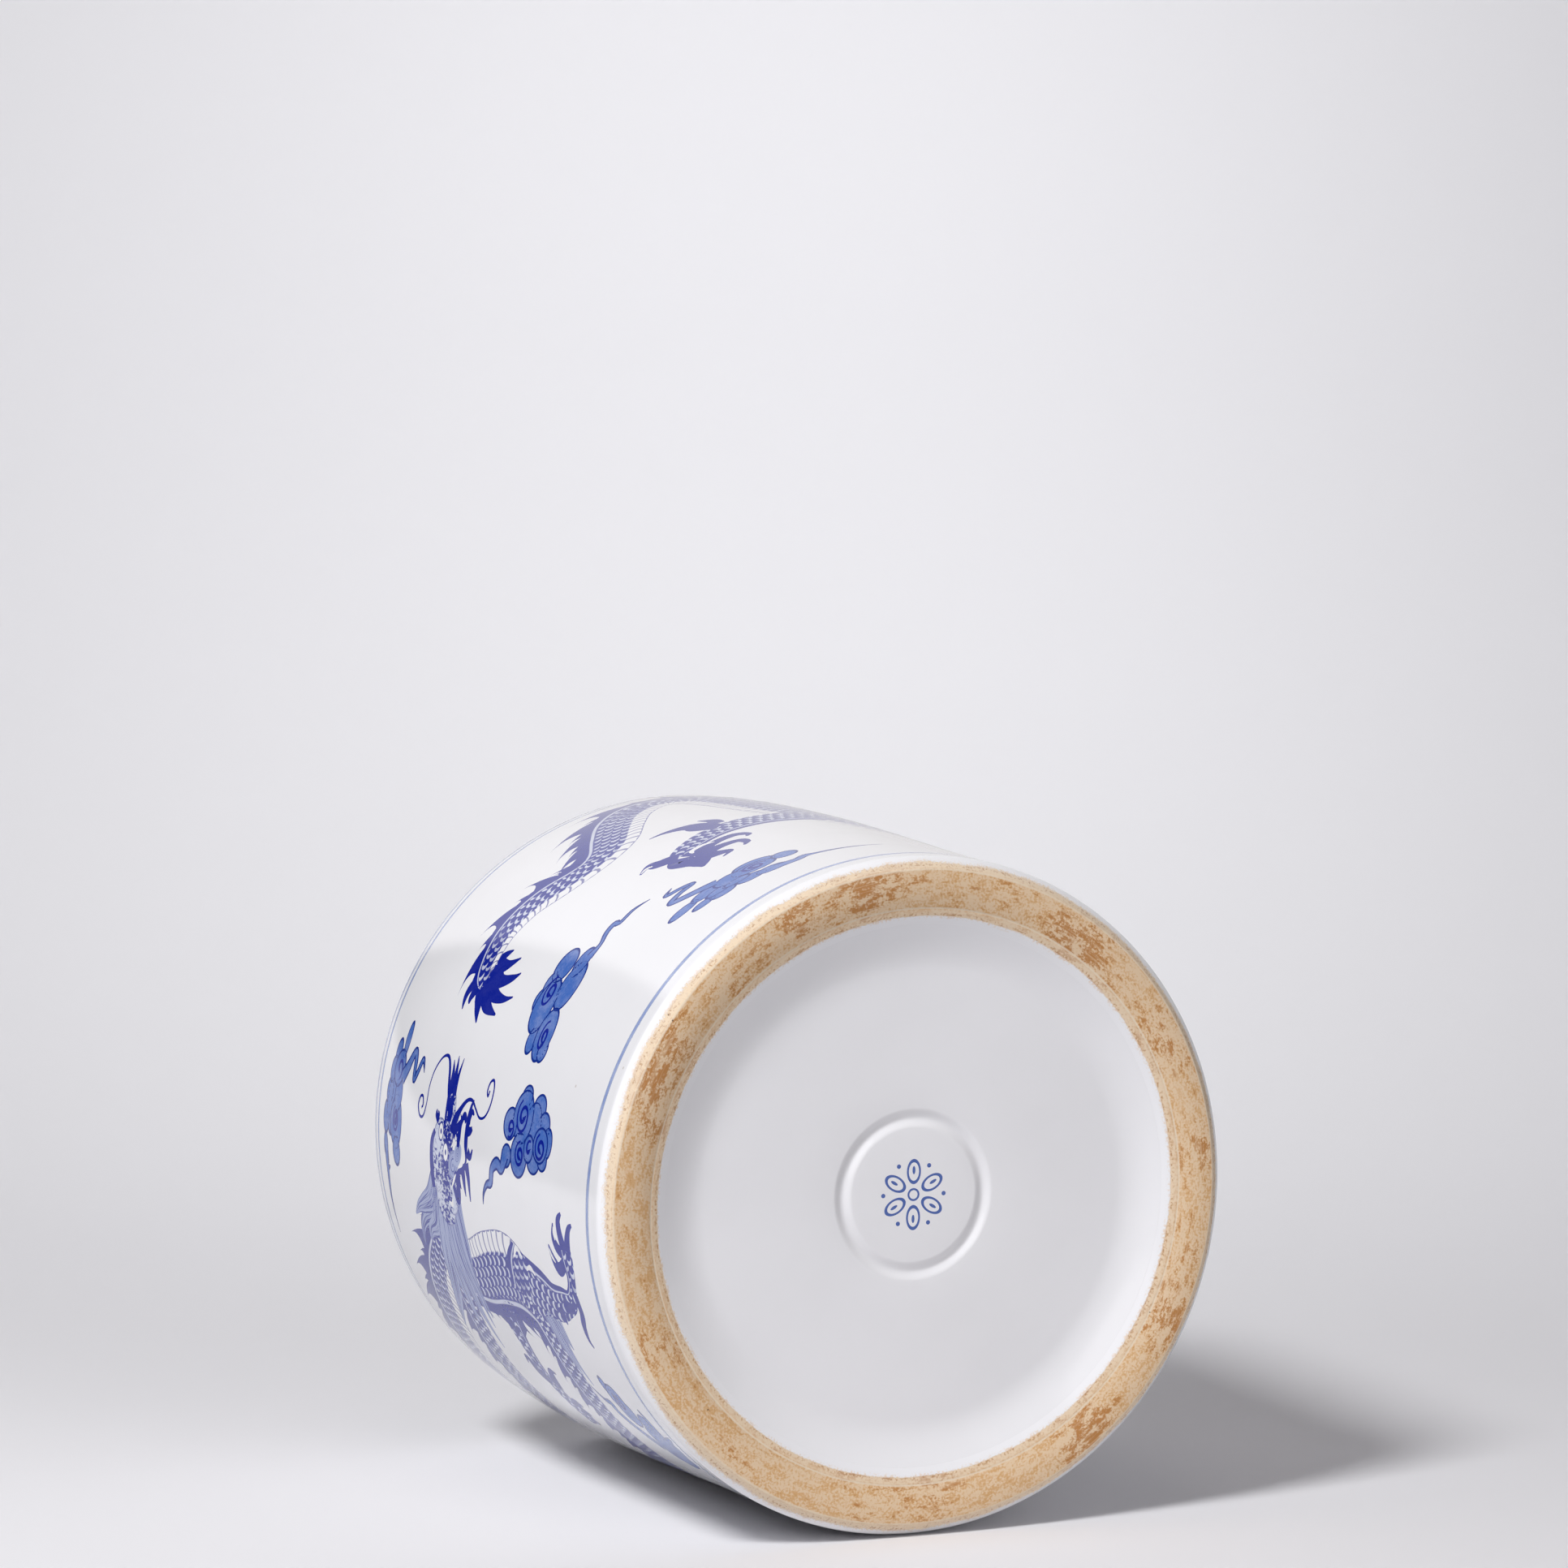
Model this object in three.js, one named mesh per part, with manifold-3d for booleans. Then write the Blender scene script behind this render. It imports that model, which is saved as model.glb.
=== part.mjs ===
// Brush holder pot: a cylindrical porcelain pot that stands on an unglazed turned foot.
// The clay body is a wall, a base slab and a foot ring, joined with slip. Blue bands and
// printed transfers (two dragons among clouds) lie on the outside of the wall.
// Millimetres, +Z up through the mouth, origin at the centre of the face it stands on.
import * as THREE from 'three';
import { mergeVertices } from 'three/addons/utils/BufferGeometryUtils.js';
import Module from 'manifold-3d';

// Overall sizes
const POT_HEIGHT = 178;
const WALL_FOOT_RADIUS = 89.3;
const WALL_MOUTH_RADIUS = 94.6;
const WALL_BULGE = 1.7;
const WALL_SHOULDER = 2.0;
const WALL_THICKNESS = 8;

// Foot ring and recessed base
const FOOT_HEIGHT = 3;
const FOOT_CHAMFER_WIDTH = 3.3;
const FOOT_FACE_WIDTH = 10.2;
const FOOT_BEVEL_WIDTH = 2.5;
const FOOT_BEVEL_RISE = 1.2;
const RECESS_DEPTH = 5.6;
const COVE_WIDTH = 14;
const SLAB_THICKNESS = 8;
const ROUNDEL_RADIUS = 17.5;
const ROUNDEL_GROOVE_WIDTH = 5.5;
const ROUNDEL_GROOVE_DEPTH = 0.9;

// Bands and transfers
const FOOT_BAND_HEIGHT = 9.8;
const MOUTH_BAND_LOWER_DROP = 7.5;
const MOUTH_BAND_UPPER_DROP = 4.3;
const FOOT_BAND_WIDTH = 1.2;
const MOUTH_BAND_WIDTH = 0.8;
const PRINT_THICKNESS = 0.2;
const ORNAMENT_RADIUS = 11;

// Clearances between pieces that touch
const SLIP_GAP = 0.3;
const PRINT_GAP = 0.1;

// Facets round the pot, and along curves
const SEGMENTS = 48;
const WALL_ROWS = 6;
const LIP_STEPS = 4;
const COVE_STEPS = 3;

const WHITE_GLAZE = { color: 0xe6e7ec, roughness: 0.12, metalness: 0 };
const BARE_CLAY = { color: 0xc9a37c, roughness: 0.85, metalness: 0 };
const COBALT = { color: 0x2c3f96, roughness: 0.15, metalness: 0 };
const COBALT_WASH = { color: 0x5f7ebc, roughness: 0.15, metalness: 0 };

const wasm = await Module();
wasm.setup();

const pot = new THREE.Group();

function addPiece(name, geometry, finish) {
  const piece = new THREE.Mesh(geometry, new THREE.MeshStandardMaterial(finish));
  piece.name = name;
  pot.add(piece);
}

// Solids that are joined or cut -------------------------------------------------------

function toManifold(geometry) {
  const bare = geometry.clone();
  bare.deleteAttribute('normal');
  bare.deleteAttribute('uv');
  const merged = mergeVertices(bare, 1e-4);
  return new wasm.Manifold(new wasm.Mesh({
    numProp: 3,
    vertProperties: new Float32Array(merged.attributes.position.array),
    triVerts: new Uint32Array(merged.index.array),
  }));
}

function toGeometry(solid) {
  const mesh = solid.getMesh();
  const geometry = new THREE.BufferGeometry();
  geometry.setAttribute('position', new THREE.BufferAttribute(mesh.vertProperties, 3));
  geometry.setIndex(new THREE.BufferAttribute(mesh.triVerts, 1));
  return geometry;
}

// Turned pieces: the profile is a list of [radius, height], in any closed order ---------

function turned(profile) {
  const points = profile.map(([radius, height]) => new THREE.Vector2(radius, height));
  const area = THREE.ShapeUtils.area(points);
  if (area < 0) points.reverse();
  if (points[0].x > 0) points.push(points[0].clone());
  const lathe = new THREE.LatheGeometry(points, SEGMENTS);
  // The lathe turns about Y, so its axis is stood up along Z.
  lathe.rotateX(Math.PI / 2);
  return lathe;
}

// Outer radius of the wall at a height: a straight flare with a bulge that sits high.
const WALL_FOOT = FOOT_HEIGHT + SLIP_GAP;
const LIP_RADIUS = WALL_THICKNESS / 2;
const WALL_TOP = POT_HEIGHT - LIP_RADIUS;

function wallRadius(height) {
  const t = (height - FOOT_HEIGHT) / (WALL_TOP - FOOT_HEIGHT);
  const arch = 4 * t * (1 - t);
  const flare = (WALL_MOUTH_RADIUS - WALL_FOOT_RADIUS) * t;
  return WALL_FOOT_RADIUS + flare + WALL_BULGE * arch + WALL_SHOULDER * arch * (2 * t - 1);
}

function wallHeights(from, to, rows) {
  return Array.from({ length: rows + 1 }, (_, i) => from + ((to - from) * i) / rows);
}

// The wall is straight between its rows, so whatever lies against it uses this radius.
function facetRadius(height) {
  const rows = wallHeights(WALL_FOOT, WALL_TOP, WALL_ROWS);
  const above = Math.max(1, rows.findIndex((row) => row >= height));
  const [low, high] = [rows[above - 1], rows[above]];
  const share = (height - low) / (high - low);
  return wallRadius(low) * (1 - share) + wallRadius(high) * share;
}

function wallProfile() {
  const heights = wallHeights(WALL_FOOT, WALL_TOP, WALL_ROWS);
  const outside = heights.map((height) => [wallRadius(height), height]);
  const inside = heights.map((height) => [wallRadius(height) - WALL_THICKNESS, height]);
  const lip = [];
  for (let i = 1; i < LIP_STEPS; i += 1) {
    const angle = (Math.PI * i) / LIP_STEPS;
    const radius = wallRadius(WALL_TOP) - LIP_RADIUS + LIP_RADIUS * Math.cos(angle);
    lip.push([radius, WALL_TOP + LIP_RADIUS * Math.sin(angle)]);
  }
  return [...outside, ...lip, ...inside.reverse()];
}

// Foot ring: a flat standing face, a chamfer outside and a bevel inside.
const FOOT_FACE_RADIUS = WALL_FOOT_RADIUS - FOOT_CHAMFER_WIDTH;
const FOOT_INNER_FACE_RADIUS = FOOT_FACE_RADIUS - FOOT_FACE_WIDTH;
const FOOT_INNER_RADIUS = FOOT_INNER_FACE_RADIUS - FOOT_BEVEL_WIDTH;

function footProfile() {
  return [
    [FOOT_INNER_FACE_RADIUS, 0],
    [FOOT_FACE_RADIUS, 0],
    [wallRadius(FOOT_HEIGHT), FOOT_HEIGHT],
    [FOOT_INNER_RADIUS, FOOT_HEIGHT],
    [FOOT_INNER_RADIUS, FOOT_BEVEL_RISE],
  ];
}

// Base slab: seated in the wall and on the foot ring, with a cove down to the ring's bevel
// and a shallow groove round a roundel in the middle of its underside.
const SLAB_TOP = RECESS_DEPTH + SLAB_THICKNESS;
const slabRadius = (height) => facetRadius(height) - WALL_THICKNESS - SLIP_GAP;
const COVE_OUTER_RADIUS = FOOT_INNER_RADIUS - SLIP_GAP;

function slabProfile() {
  const grooveOuter = ROUNDEL_RADIUS + ROUNDEL_GROOVE_WIDTH;
  const underside = [
    [0, RECESS_DEPTH],
    [ROUNDEL_RADIUS, RECESS_DEPTH],
    [ROUNDEL_RADIUS + ROUNDEL_GROOVE_WIDTH / 2, RECESS_DEPTH + ROUNDEL_GROOVE_DEPTH],
    [grooveOuter, RECESS_DEPTH],
  ];
  for (let i = 0; i <= COVE_STEPS; i += 1) {
    const t = i / COVE_STEPS;
    const drop = (RECESS_DEPTH - FOOT_BEVEL_RISE) * (1 - Math.cos((t * Math.PI) / 2));
    underside.push([COVE_OUTER_RADIUS - COVE_WIDTH * (1 - t), RECESS_DEPTH - drop]);
  }
  return [
    ...underside,
    [COVE_OUTER_RADIUS, WALL_FOOT],
    [slabRadius(WALL_FOOT), WALL_FOOT],
    [slabRadius(SLAB_TOP), SLAB_TOP],
    [0, SLAB_TOP],
  ];
}

// Bands: thin rings that follow the wall.
function bandProfile(middle, width) {
  const [low, high] = [middle - width / 2, middle + width / 2];
  const inner = (height) => facetRadius(height) + PRINT_GAP;
  return [
    [inner(low), low],
    [inner(low) + PRINT_THICKNESS, low],
    [inner(high) + PRINT_THICKNESS, high],
    [inner(high), high],
  ];
}

// Transfers: a figure is drawn as degrees round the pot and height, pushed out radially into
// a thick prism, and cut from a thin coat that follows the wall facet by facet.
const PRISM_INNER_RADIUS = WALL_FOOT_RADIUS / 2;
const PRISM_OUTER_RADIUS = WALL_MOUTH_RADIUS * 1.4;
const ARC_PER_DEGREE = (THREE.MathUtils.degToRad(1) * (WALL_FOOT_RADIUS + WALL_MOUTH_RADIUS)) / 2;

function coat() {
  const heights = wallHeights(WALL_FOOT, WALL_TOP, WALL_ROWS);
  const inner = heights.map((height) => [wallRadius(height) + PRINT_GAP, height]);
  const outer = inner.map(([radius, height]) => [radius + PRINT_THICKNESS, height]);
  return toManifold(turned([...outer, ...inner.reverse()]));
}

function onPrism(degrees, height, radius) {
  const angle = THREE.MathUtils.degToRad(degrees);
  return [radius * Math.cos(angle), radius * Math.sin(angle), height];
}

// A strip solid from two matching edges, each a list of [degrees, height].
function stripPrism(left, right) {
  const positions = [];
  const index = [];
  left.forEach((point, i) => {
    for (const [degrees, height] of [point, right[i]]) {
      positions.push(...onPrism(degrees, height, PRISM_INNER_RADIUS));
      positions.push(...onPrism(degrees, height, PRISM_OUTER_RADIUS));
    }
  });
  const quad = (a, b, c, d) => index.push(a, b, c, a, c, d);
  for (let i = 0; i + 1 < left.length; i += 1) {
    const [here, next] = [4 * i, 4 * (i + 1)];
    quad(here, here + 2, next + 2, next);
    quad(here + 1, next + 1, next + 3, here + 3);
    quad(here, next, next + 1, here + 1);
    quad(here + 2, here + 3, next + 3, next + 2);
  }
  const last = 4 * (left.length - 1);
  quad(0, 1, 3, 2);
  quad(last, last + 2, last + 3, last + 1);
  const geometry = new THREE.BufferGeometry();
  geometry.setAttribute('position', new THREE.Float32BufferAttribute(positions, 3));
  geometry.setIndex(index);
  const solid = toManifold(geometry);
  if (solid.volume() > 0) return solid;
  geometry.setIndex(index.reverse());
  return toManifold(geometry);
}

// A ribbon of varying width along a smooth line of [degrees, height, half width].
function ribbon(stations, steps) {
  const line = new THREE.CatmullRomCurve3(
    stations.map(([degrees, height, half]) => new THREE.Vector3(degrees * ARC_PER_DEGREE, height, half)),
    false,
    'centripetal',
  );
  const left = [];
  const right = [];
  for (let i = 0; i <= steps; i += 1) {
    const at = line.getPoint(i / steps);
    const along = line.getTangent(i / steps);
    const across = new THREE.Vector2(-along.y, along.x).normalize().multiplyScalar(at.z);
    left.push([(at.x + across.x) / ARC_PER_DEGREE, at.y + across.y]);
    right.push([(at.x - across.x) / ARC_PER_DEGREE, at.y - across.y]);
  }
  return stripPrism(left, right);
}

// An oval lobe: [degrees, height, half width, half height].
const LOBE_STEPS = 5;

function lobe([degrees, height, halfWidth, halfHeight]) {
  const left = [];
  const right = [];
  for (let i = 0; i <= LOBE_STEPS; i += 1) {
    const angle = (Math.PI * (i + 0.25)) / (LOBE_STEPS + 0.5);
    const reach = (halfWidth * Math.sin(angle)) / ARC_PER_DEGREE;
    const level = height - halfHeight * Math.cos(angle);
    left.push([degrees - reach, level]);
    right.push([degrees + reach, level]);
  }
  return stripPrism(left, right);
}

function printed(prisms, turn) {
  const figure = prisms.reduce((sum, prism) => sum.add(prism));
  const geometry = toGeometry(figure.intersect(coat()));
  geometry.rotateZ(THREE.MathUtils.degToRad(turn));
  return geometry;
}

// One dragon, nose to the right, as ribbons of [degrees, height, half width].
const DRAGON = [
  // tail, arch, hip, belly, chest and neck
  [[-241, 117, 4.5], [-231, 120.5, 7.5], [-217, 110.5, 8.5], [-208, 119, 9.5], [-199, 146, 10.5],
    [-190, 154, 11], [-183, 142, 11], [-179, 115, 11], [-172, 86, 11], [-158, 66, 10],
    [-142, 58, 7.5], [-122, 56.5, 7], [-110, 60, 11.5], [-109, 82, 12], [-111, 108, 10]],
  // the coil that rises behind the belly, and the one that passes behind the head
  [[-160, 72, 8], [-157.5, 100, 8], [-157, 126, 8.5], [-149, 149, 9], [-132, 151, 9.5],
    [-116, 137, 9], [-104, 118, 8]],
  [[-157, 123, 7], [-142, 121, 7.5], [-124, 120.5, 7.5], [-106, 117, 7.5]],
  // mane, skull and snout
  [[-124, 107, 2], [-114, 109, 9], [-104, 111, 11], [-94, 110, 10.5], [-86, 106, 8], [-77, 107, 3]],
  // lower jaw
  [[-97, 103, 6], [-90, 98, 6.5], [-84, 95, 3]],
  // near foreleg
  [[-108, 56, 9], [-109.5, 42, 6], [-107, 30, 4.5], [-101, 26, 4.5], [-94, 27, 3]],
  // far foreleg
  [[-112, 83, 6], [-122, 84, 4.5], [-131, 85, 4], [-140, 82, 4.5]],
  // hind leg
  [[-176, 91, 9], [-191, 88, 6], [-200, 83, 5.2], [-204.5, 74, 5.5], [-204.5, 64, 4]],
];
const RIBBON_STEPS_PER_STATION = 2;

// Clouds: oval lobes of [degrees, height, half width, half height] and a wisp for a tail.
const CLOUDS = {
  mouth: {
    lobes: [[-90, 152.5, 8, 5.5], [-87, 160.5, 10, 4], [-79, 157, 9, 5.5], [-73.5, 153, 5.5, 2.6]],
    wisp: [[-79.5, 154, 2.5], [-76.5, 143, 2], [-79.5, 140, 1.6], [-76.5, 136, 1.4], [-78, 133, 0.5]],
  },
  cluster: {
    lobes: [[-81, 65.5, 5, 4.5], [-86, 57.5, 6, 6], [-79.5, 57.5, 8, 6.5], [-79, 48.5, 6, 5],
      [-83.5, 44, 7, 8]],
    wisp: [[-86.5, 61, 3], [-88.5, 69, 2], [-91.5, 76, 1.6], [-95.5, 82, 0.5]],
  },
  drifting: {
    lobes: [[-59.5, 69.5, 10, 7], [-52.5, 70, 6, 5], [-65.5, 61, 8, 6.5], [-55, 61, 9, 5]],
    wisp: [[-51, 61, 2.5], [-47, 61.5, 1.2], [-43.5, 62.5, 1.4], [-36.5, 59, 0.5]],
  },
  foot: {
    lobes: [[-22, 37.5, 9.5, 6], [-16.5, 38, 4.5, 3.5], [-33, 36.5, 11, 4], [-29, 31, 10, 3.6],
      [-20, 29.8, 9, 3.2]],
    wisp: [[-28, 38, 2.5], [-35, 46.5, 2], [-31, 50.5, 1.6], [-33, 56, 0.5]],
  },
  coiled: {
    lobes: [[-128, 33.5, 8.5, 5], [-135, 27.5, 8, 6], [-139.5, 19.5, 5.5, 7], [-131, 21, 6, 4]],
    wisp: [[-134, 32, 2.5], [-132, 40, 2], [-129, 43, 1.6], [-127.5, 46, 0.5]],
  },
};
// The set of transfers covers half the pot and is laid twice.
const LAYS = [0, 180];

// Ornament on the roundel: a ring of petals round a disc, a thin print under the base.
const PETALS = 6;
const PETAL_REACH = ORNAMENT_RADIUS * 0.62;
const PETAL_RADIUS = ORNAMENT_RADIUS * 0.3;
const PETAL_SIDES = 8;

function flatDisc(radius, x, y) {
  const disc = new THREE.CylinderGeometry(radius, radius, PRINT_THICKNESS, PETAL_SIDES);
  disc.rotateX(Math.PI / 2);
  disc.translate(x, y, RECESS_DEPTH - PRINT_GAP - PRINT_THICKNESS / 2);
  return toManifold(disc);
}

function ornament() {
  let figure = flatDisc(PETAL_REACH - PETAL_RADIUS * 0.6, 0, 0);
  for (let i = 0; i < PETALS; i += 1) {
    const angle = (2 * Math.PI * i) / PETALS;
    const petal = flatDisc(PETAL_RADIUS, PETAL_REACH * Math.cos(angle), PETAL_REACH * Math.sin(angle));
    figure = figure.add(petal);
  }
  return toGeometry(figure);
}

addPiece('pot_wall', turned(wallProfile()), WHITE_GLAZE);
addPiece('base_slab', turned(slabProfile()), WHITE_GLAZE);
addPiece('foot_ring', turned(footProfile()), BARE_CLAY);
addPiece('foot_band', turned(bandProfile(FOOT_BAND_HEIGHT, FOOT_BAND_WIDTH)), COBALT_WASH);
const lowerBand = POT_HEIGHT - MOUTH_BAND_LOWER_DROP;
const upperBand = POT_HEIGHT - MOUTH_BAND_UPPER_DROP;
addPiece('mouth_band_lower', turned(bandProfile(lowerBand, MOUTH_BAND_WIDTH)), COBALT_WASH);
addPiece('mouth_band_upper', turned(bandProfile(upperBand, MOUTH_BAND_WIDTH)), COBALT_WASH);
addPiece('roundel_ornament', ornament(), COBALT);
LAYS.forEach((turn, lay) => {
  const strands = DRAGON.map((stations) => ribbon(stations, stations.length * RIBBON_STEPS_PER_STATION));
  addPiece(`dragon_transfer_${lay + 1}`, printed(strands, turn), COBALT);
  for (const [name, { lobes, wisp }] of Object.entries(CLOUDS)) {
    const shapes = [...lobes.map(lobe), ribbon(wisp, wisp.length * RIBBON_STEPS_PER_STATION)];
    addPiece(`${name}_cloud_transfer_${lay + 1}`, printed(shapes, turn), COBALT_WASH);
  }
});

export default pot;
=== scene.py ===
"""Brush holder pot in blue and white porcelain: glazed wall and base, bare turned foot,
brushed bands, printed dragons and clouds, and the stage that it is shown on."""

import math

import bpy
from bpy.props import FloatProperty, FloatVectorProperty, IntProperty, PointerProperty
from mathutils import Matrix, Vector


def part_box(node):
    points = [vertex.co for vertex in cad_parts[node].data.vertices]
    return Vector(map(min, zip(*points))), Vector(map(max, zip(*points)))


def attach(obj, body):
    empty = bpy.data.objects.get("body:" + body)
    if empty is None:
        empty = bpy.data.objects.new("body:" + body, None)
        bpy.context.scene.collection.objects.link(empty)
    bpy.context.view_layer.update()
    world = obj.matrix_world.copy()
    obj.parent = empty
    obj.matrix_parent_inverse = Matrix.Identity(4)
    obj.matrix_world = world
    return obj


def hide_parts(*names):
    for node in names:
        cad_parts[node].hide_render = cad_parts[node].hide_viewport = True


bl_info = {
    "name": "Brush Holder Pot",
    "version": (1, 0, 0),
    "blender": (4, 5, 0),
    "location": "3D View > Sidebar > Brush Pot",
    "description": "Builds a blue and white brush pot round its packed CAD frame",
    "category": "Object",
}

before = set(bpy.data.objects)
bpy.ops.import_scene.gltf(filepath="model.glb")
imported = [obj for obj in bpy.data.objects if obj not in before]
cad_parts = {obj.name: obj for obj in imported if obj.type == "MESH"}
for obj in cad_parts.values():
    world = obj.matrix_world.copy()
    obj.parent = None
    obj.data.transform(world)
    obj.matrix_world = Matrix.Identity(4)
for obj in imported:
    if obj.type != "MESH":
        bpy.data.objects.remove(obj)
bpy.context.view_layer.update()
MM = 0.001

# Sizes that the frame gives, in metres
POT_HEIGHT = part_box("pot_wall")[1].z
FOOT_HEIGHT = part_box("foot_ring")[1].z
FLOOR_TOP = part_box("base_slab")[1].z
ORNAMENT_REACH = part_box("roundel_ornament")[1].x
ORNAMENT_GAP = 0.1 * MM
RECESS_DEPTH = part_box("roundel_ornament")[1].z + ORNAMENT_GAP


def middle_height(node):
    low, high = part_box(node)
    return (low.z + high.z) / 2


# ---------------------------------------------------------------------------------------
# Settings that a user can change


def length(name, description, default):
    facts = {"name": name, "description": description, "default": default}
    return FloatProperty(**facts, min=0.0, unit="LENGTH", precision=5)


def colour(name, description, default):
    facts = {"name": name, "description": description, "default": default}
    return FloatVectorProperty(**facts, size=3, subtype="COLOR", min=0, max=1)


class PotBodySettings(bpy.types.PropertyGroup):
    wall_foot_radius: length("Wall radius at foot", "Outer radius as the wall leaves the foot", 89.3 * MM)
    wall_mouth_radius: length("Wall radius at mouth", "Outer radius under the lip", 94.6 * MM)
    wall_bulge: length("Bulge", "How far the wall bellies at mid height", 1.7 * MM)
    wall_shoulder: length("Shoulder", "How far the belly leans towards the mouth", 2.0 * MM)
    wall_thickness: length("Wall thickness", "Thickness of the wall and width of its lip", 8 * MM)
    foot_face_radius: length("Foot face radius", "Outer edge of the standing face", 86 * MM)
    foot_face_width: length("Foot face width", "From the outer edge to the scored line", 10.2 * MM)
    foot_bevel_width: length("Foot bevel width", "From the scored line to the glaze", 2.5 * MM)
    foot_bevel_rise: length("Foot bevel rise", "How far the bevel climbs to the glaze", 1.2 * MM)
    cove_width: length("Cove width", "Width of the cove round the recessed base", 14 * MM)
    roundel_radius: length("Roundel radius", "Inner edge of the groove round the roundel", 17.5 * MM)
    groove_width: length("Groove width", "Width of the groove round the roundel", 5.5 * MM)
    groove_depth: length("Groove depth", "Depth of the groove round the roundel", 0.9 * MM)
    steps_round: IntProperty(name="Steps round", description="Facets round the pot", default=256, min=48)


class DecorationSettings(bpy.types.PropertyGroup):
    film: length("Film step", "How far each layer of print stands off the one below", 0.012 * MM)
    foot_band_width: length("Foot band width", "Width of the brushed line above the foot", 2.0 * MM)
    mouth_band_width: length("Mouth band width", "Width of each brushed line at the mouth", 1.4 * MM)
    scale_pitch: length("Scale pitch", "Spacing of the dragon's scales along its body", 3.4 * MM)


class ColourSettings(bpy.types.PropertyGroup):
    glaze: colour("Glaze white", "Glazed porcelain", (0.84, 0.84, 0.87))
    clay: colour("Bare clay", "Unglazed foot", (0.66, 0.395, 0.185))
    clay_pale: colour("Pale clay", "Worn and turned edges of the foot", (0.76, 0.575, 0.39))
    iron: colour("Iron spots", "Burnt iron mottling on the foot", (0.46, 0.19, 0.05))
    cobalt: colour("Cobalt", "Dense printed cobalt", (0.003, 0.014, 0.29))
    cobalt_line: colour("Cobalt line", "Brushed bands", (0.10, 0.19, 0.50))
    cobalt_mark: colour("Cobalt mark", "Rosette under the base", (0.06, 0.12, 0.40))
    cobalt_wash: colour("Cobalt wash", "Pale fill of the clouds", (0.060, 0.150, 0.50))
    cobalt_outline: colour("Cobalt outline", "Outline of the clouds", (0.003, 0.022, 0.24))
    floor: colour("Floor", "Paper floor", (0.82, 0.818, 0.845))


# ---------------------------------------------------------------------------------------
# Node trees, written as expressions


class Link:
    """A socket of a tree, with arithmetic that adds Math nodes."""

    def __init__(self, tree, socket):
        self.tree = tree
        self.socket = socket

    def math(self, operation, *others):
        return self.tree.node("ShaderNodeMath", {"operation": operation}, self, *others)

    def __add__(self, other):
        return self.math("ADD", other)

    def __sub__(self, other):
        return self.math("SUBTRACT", other)

    def __rsub__(self, other):
        return self.tree.node("ShaderNodeMath", {"operation": "SUBTRACT"}, other, self)

    def __mul__(self, other):
        return self.math("MULTIPLY", other)

    def __truediv__(self, other):
        return self.math("DIVIDE", other)

    def __lt__(self, other):
        return self.math("LESS_THAN", other)

    def __gt__(self, other):
        return self.math("GREATER_THAN", other)

    __radd__ = __add__
    __rmul__ = __mul__

    def part(self, name):
        return Link(self.tree, self.socket.node.outputs[name])


class Tree:
    """A node tree that is filled by calls, with sockets given by name or in order."""

    def __init__(self, tree):
        self.tree = tree

    def node(self, kind, settings=None, *values, **named):
        made = self.tree.nodes.new(kind)
        for key, value in (settings or {}).items():
            setattr(made, key, value)
        open_inputs = [socket for socket in made.inputs if socket.enabled]
        for socket, value in zip(open_inputs, values):
            self.feed(socket, value)
        for name, value in named.items():
            socket = next(s for s in open_inputs if s.name.lower().replace(" ", "_") == name)
            self.feed(socket, value)
        return Link(self, next(socket for socket in made.outputs if socket.enabled))

    def split(self, vector):
        """The x, y and z of a vector."""
        x = self.node("ShaderNodeSeparateXYZ", None, vector)
        return x, x.part("Y"), x.part("Z")

    def vector(self, x, y, z):
        return self.node("ShaderNodeCombineXYZ", None, x, y, z)

    def feed(self, socket, value):
        if isinstance(value, Link):
            self.tree.links.new(value.socket, socket)
        elif socket.type == "RGBA" and len(value) == 3:
            socket.default_value = (*value, 1.0)
        else:
            socket.default_value = value


class Shader(Tree):
    """A material's tree round one principled shader."""

    def __init__(self, name, roughness, ior=1.5):
        self.material = bpy.data.materials.new(name)
        self.material.use_nodes = True
        super().__init__(self.material.node_tree)
        self.bsdf = self.tree.nodes["Principled BSDF"]
        self.bsdf.inputs["Roughness"].default_value = roughness
        self.bsdf.inputs["IOR"].default_value = ior

    def place(self):
        return self.node("ShaderNodeTexCoord").part("Object")

    def attribute(self, name):
        return self.node("ShaderNodeAttribute", {"attribute_name": name}).part("Fac")

    def noise(self, vector, scale, detail=2.0, roughness=0.5):
        given = {"vector": vector, "scale": scale, "detail": detail, "roughness": roughness}
        return self.node("ShaderNodeTexNoise", None, **given)

    def stretched(self, vector, scale):
        return self.node("ShaderNodeVectorMath", {"operation": "MULTIPLY"}, vector, scale)

    def smooth(self, value, low, high):
        """0 below low, 1 above high, and a smooth step between."""
        settings = {"interpolation_type": "SMOOTHSTEP"}
        return self.node("ShaderNodeMapRange", settings, value, low, high, 0.0, 1.0)

    def near(self, value, middle, full, gone):
        """1 within full of the middle, 0 further off than gone, and a smooth step between."""
        return 1 - self.smooth((value - middle).math("ABSOLUTE"), full, gone)

    def blend(self, factor, first, second):
        made = self.tree.nodes.new("ShaderNodeMix")
        made.data_type = "RGBA"
        self.feed(made.inputs["Factor"], factor)
        self.feed(made.inputs[6], first)
        self.feed(made.inputs[7], second)
        return Link(self, made.outputs[2])

    def paint(self, name, value):
        self.feed(self.bsdf.inputs[name], value)

    def bump(self, height, distance, strength):
        bumped = self.node("ShaderNodeBump", None, height=height, distance=distance, strength=strength)
        self.paint("Normal", bumped)

    def coloured(self, tone):
        """Paints the base colour and hands over the finished material."""
        self.paint("Base Color", tone)
        return self.material


# ---------------------------------------------------------------------------------------
# Finishes

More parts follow.
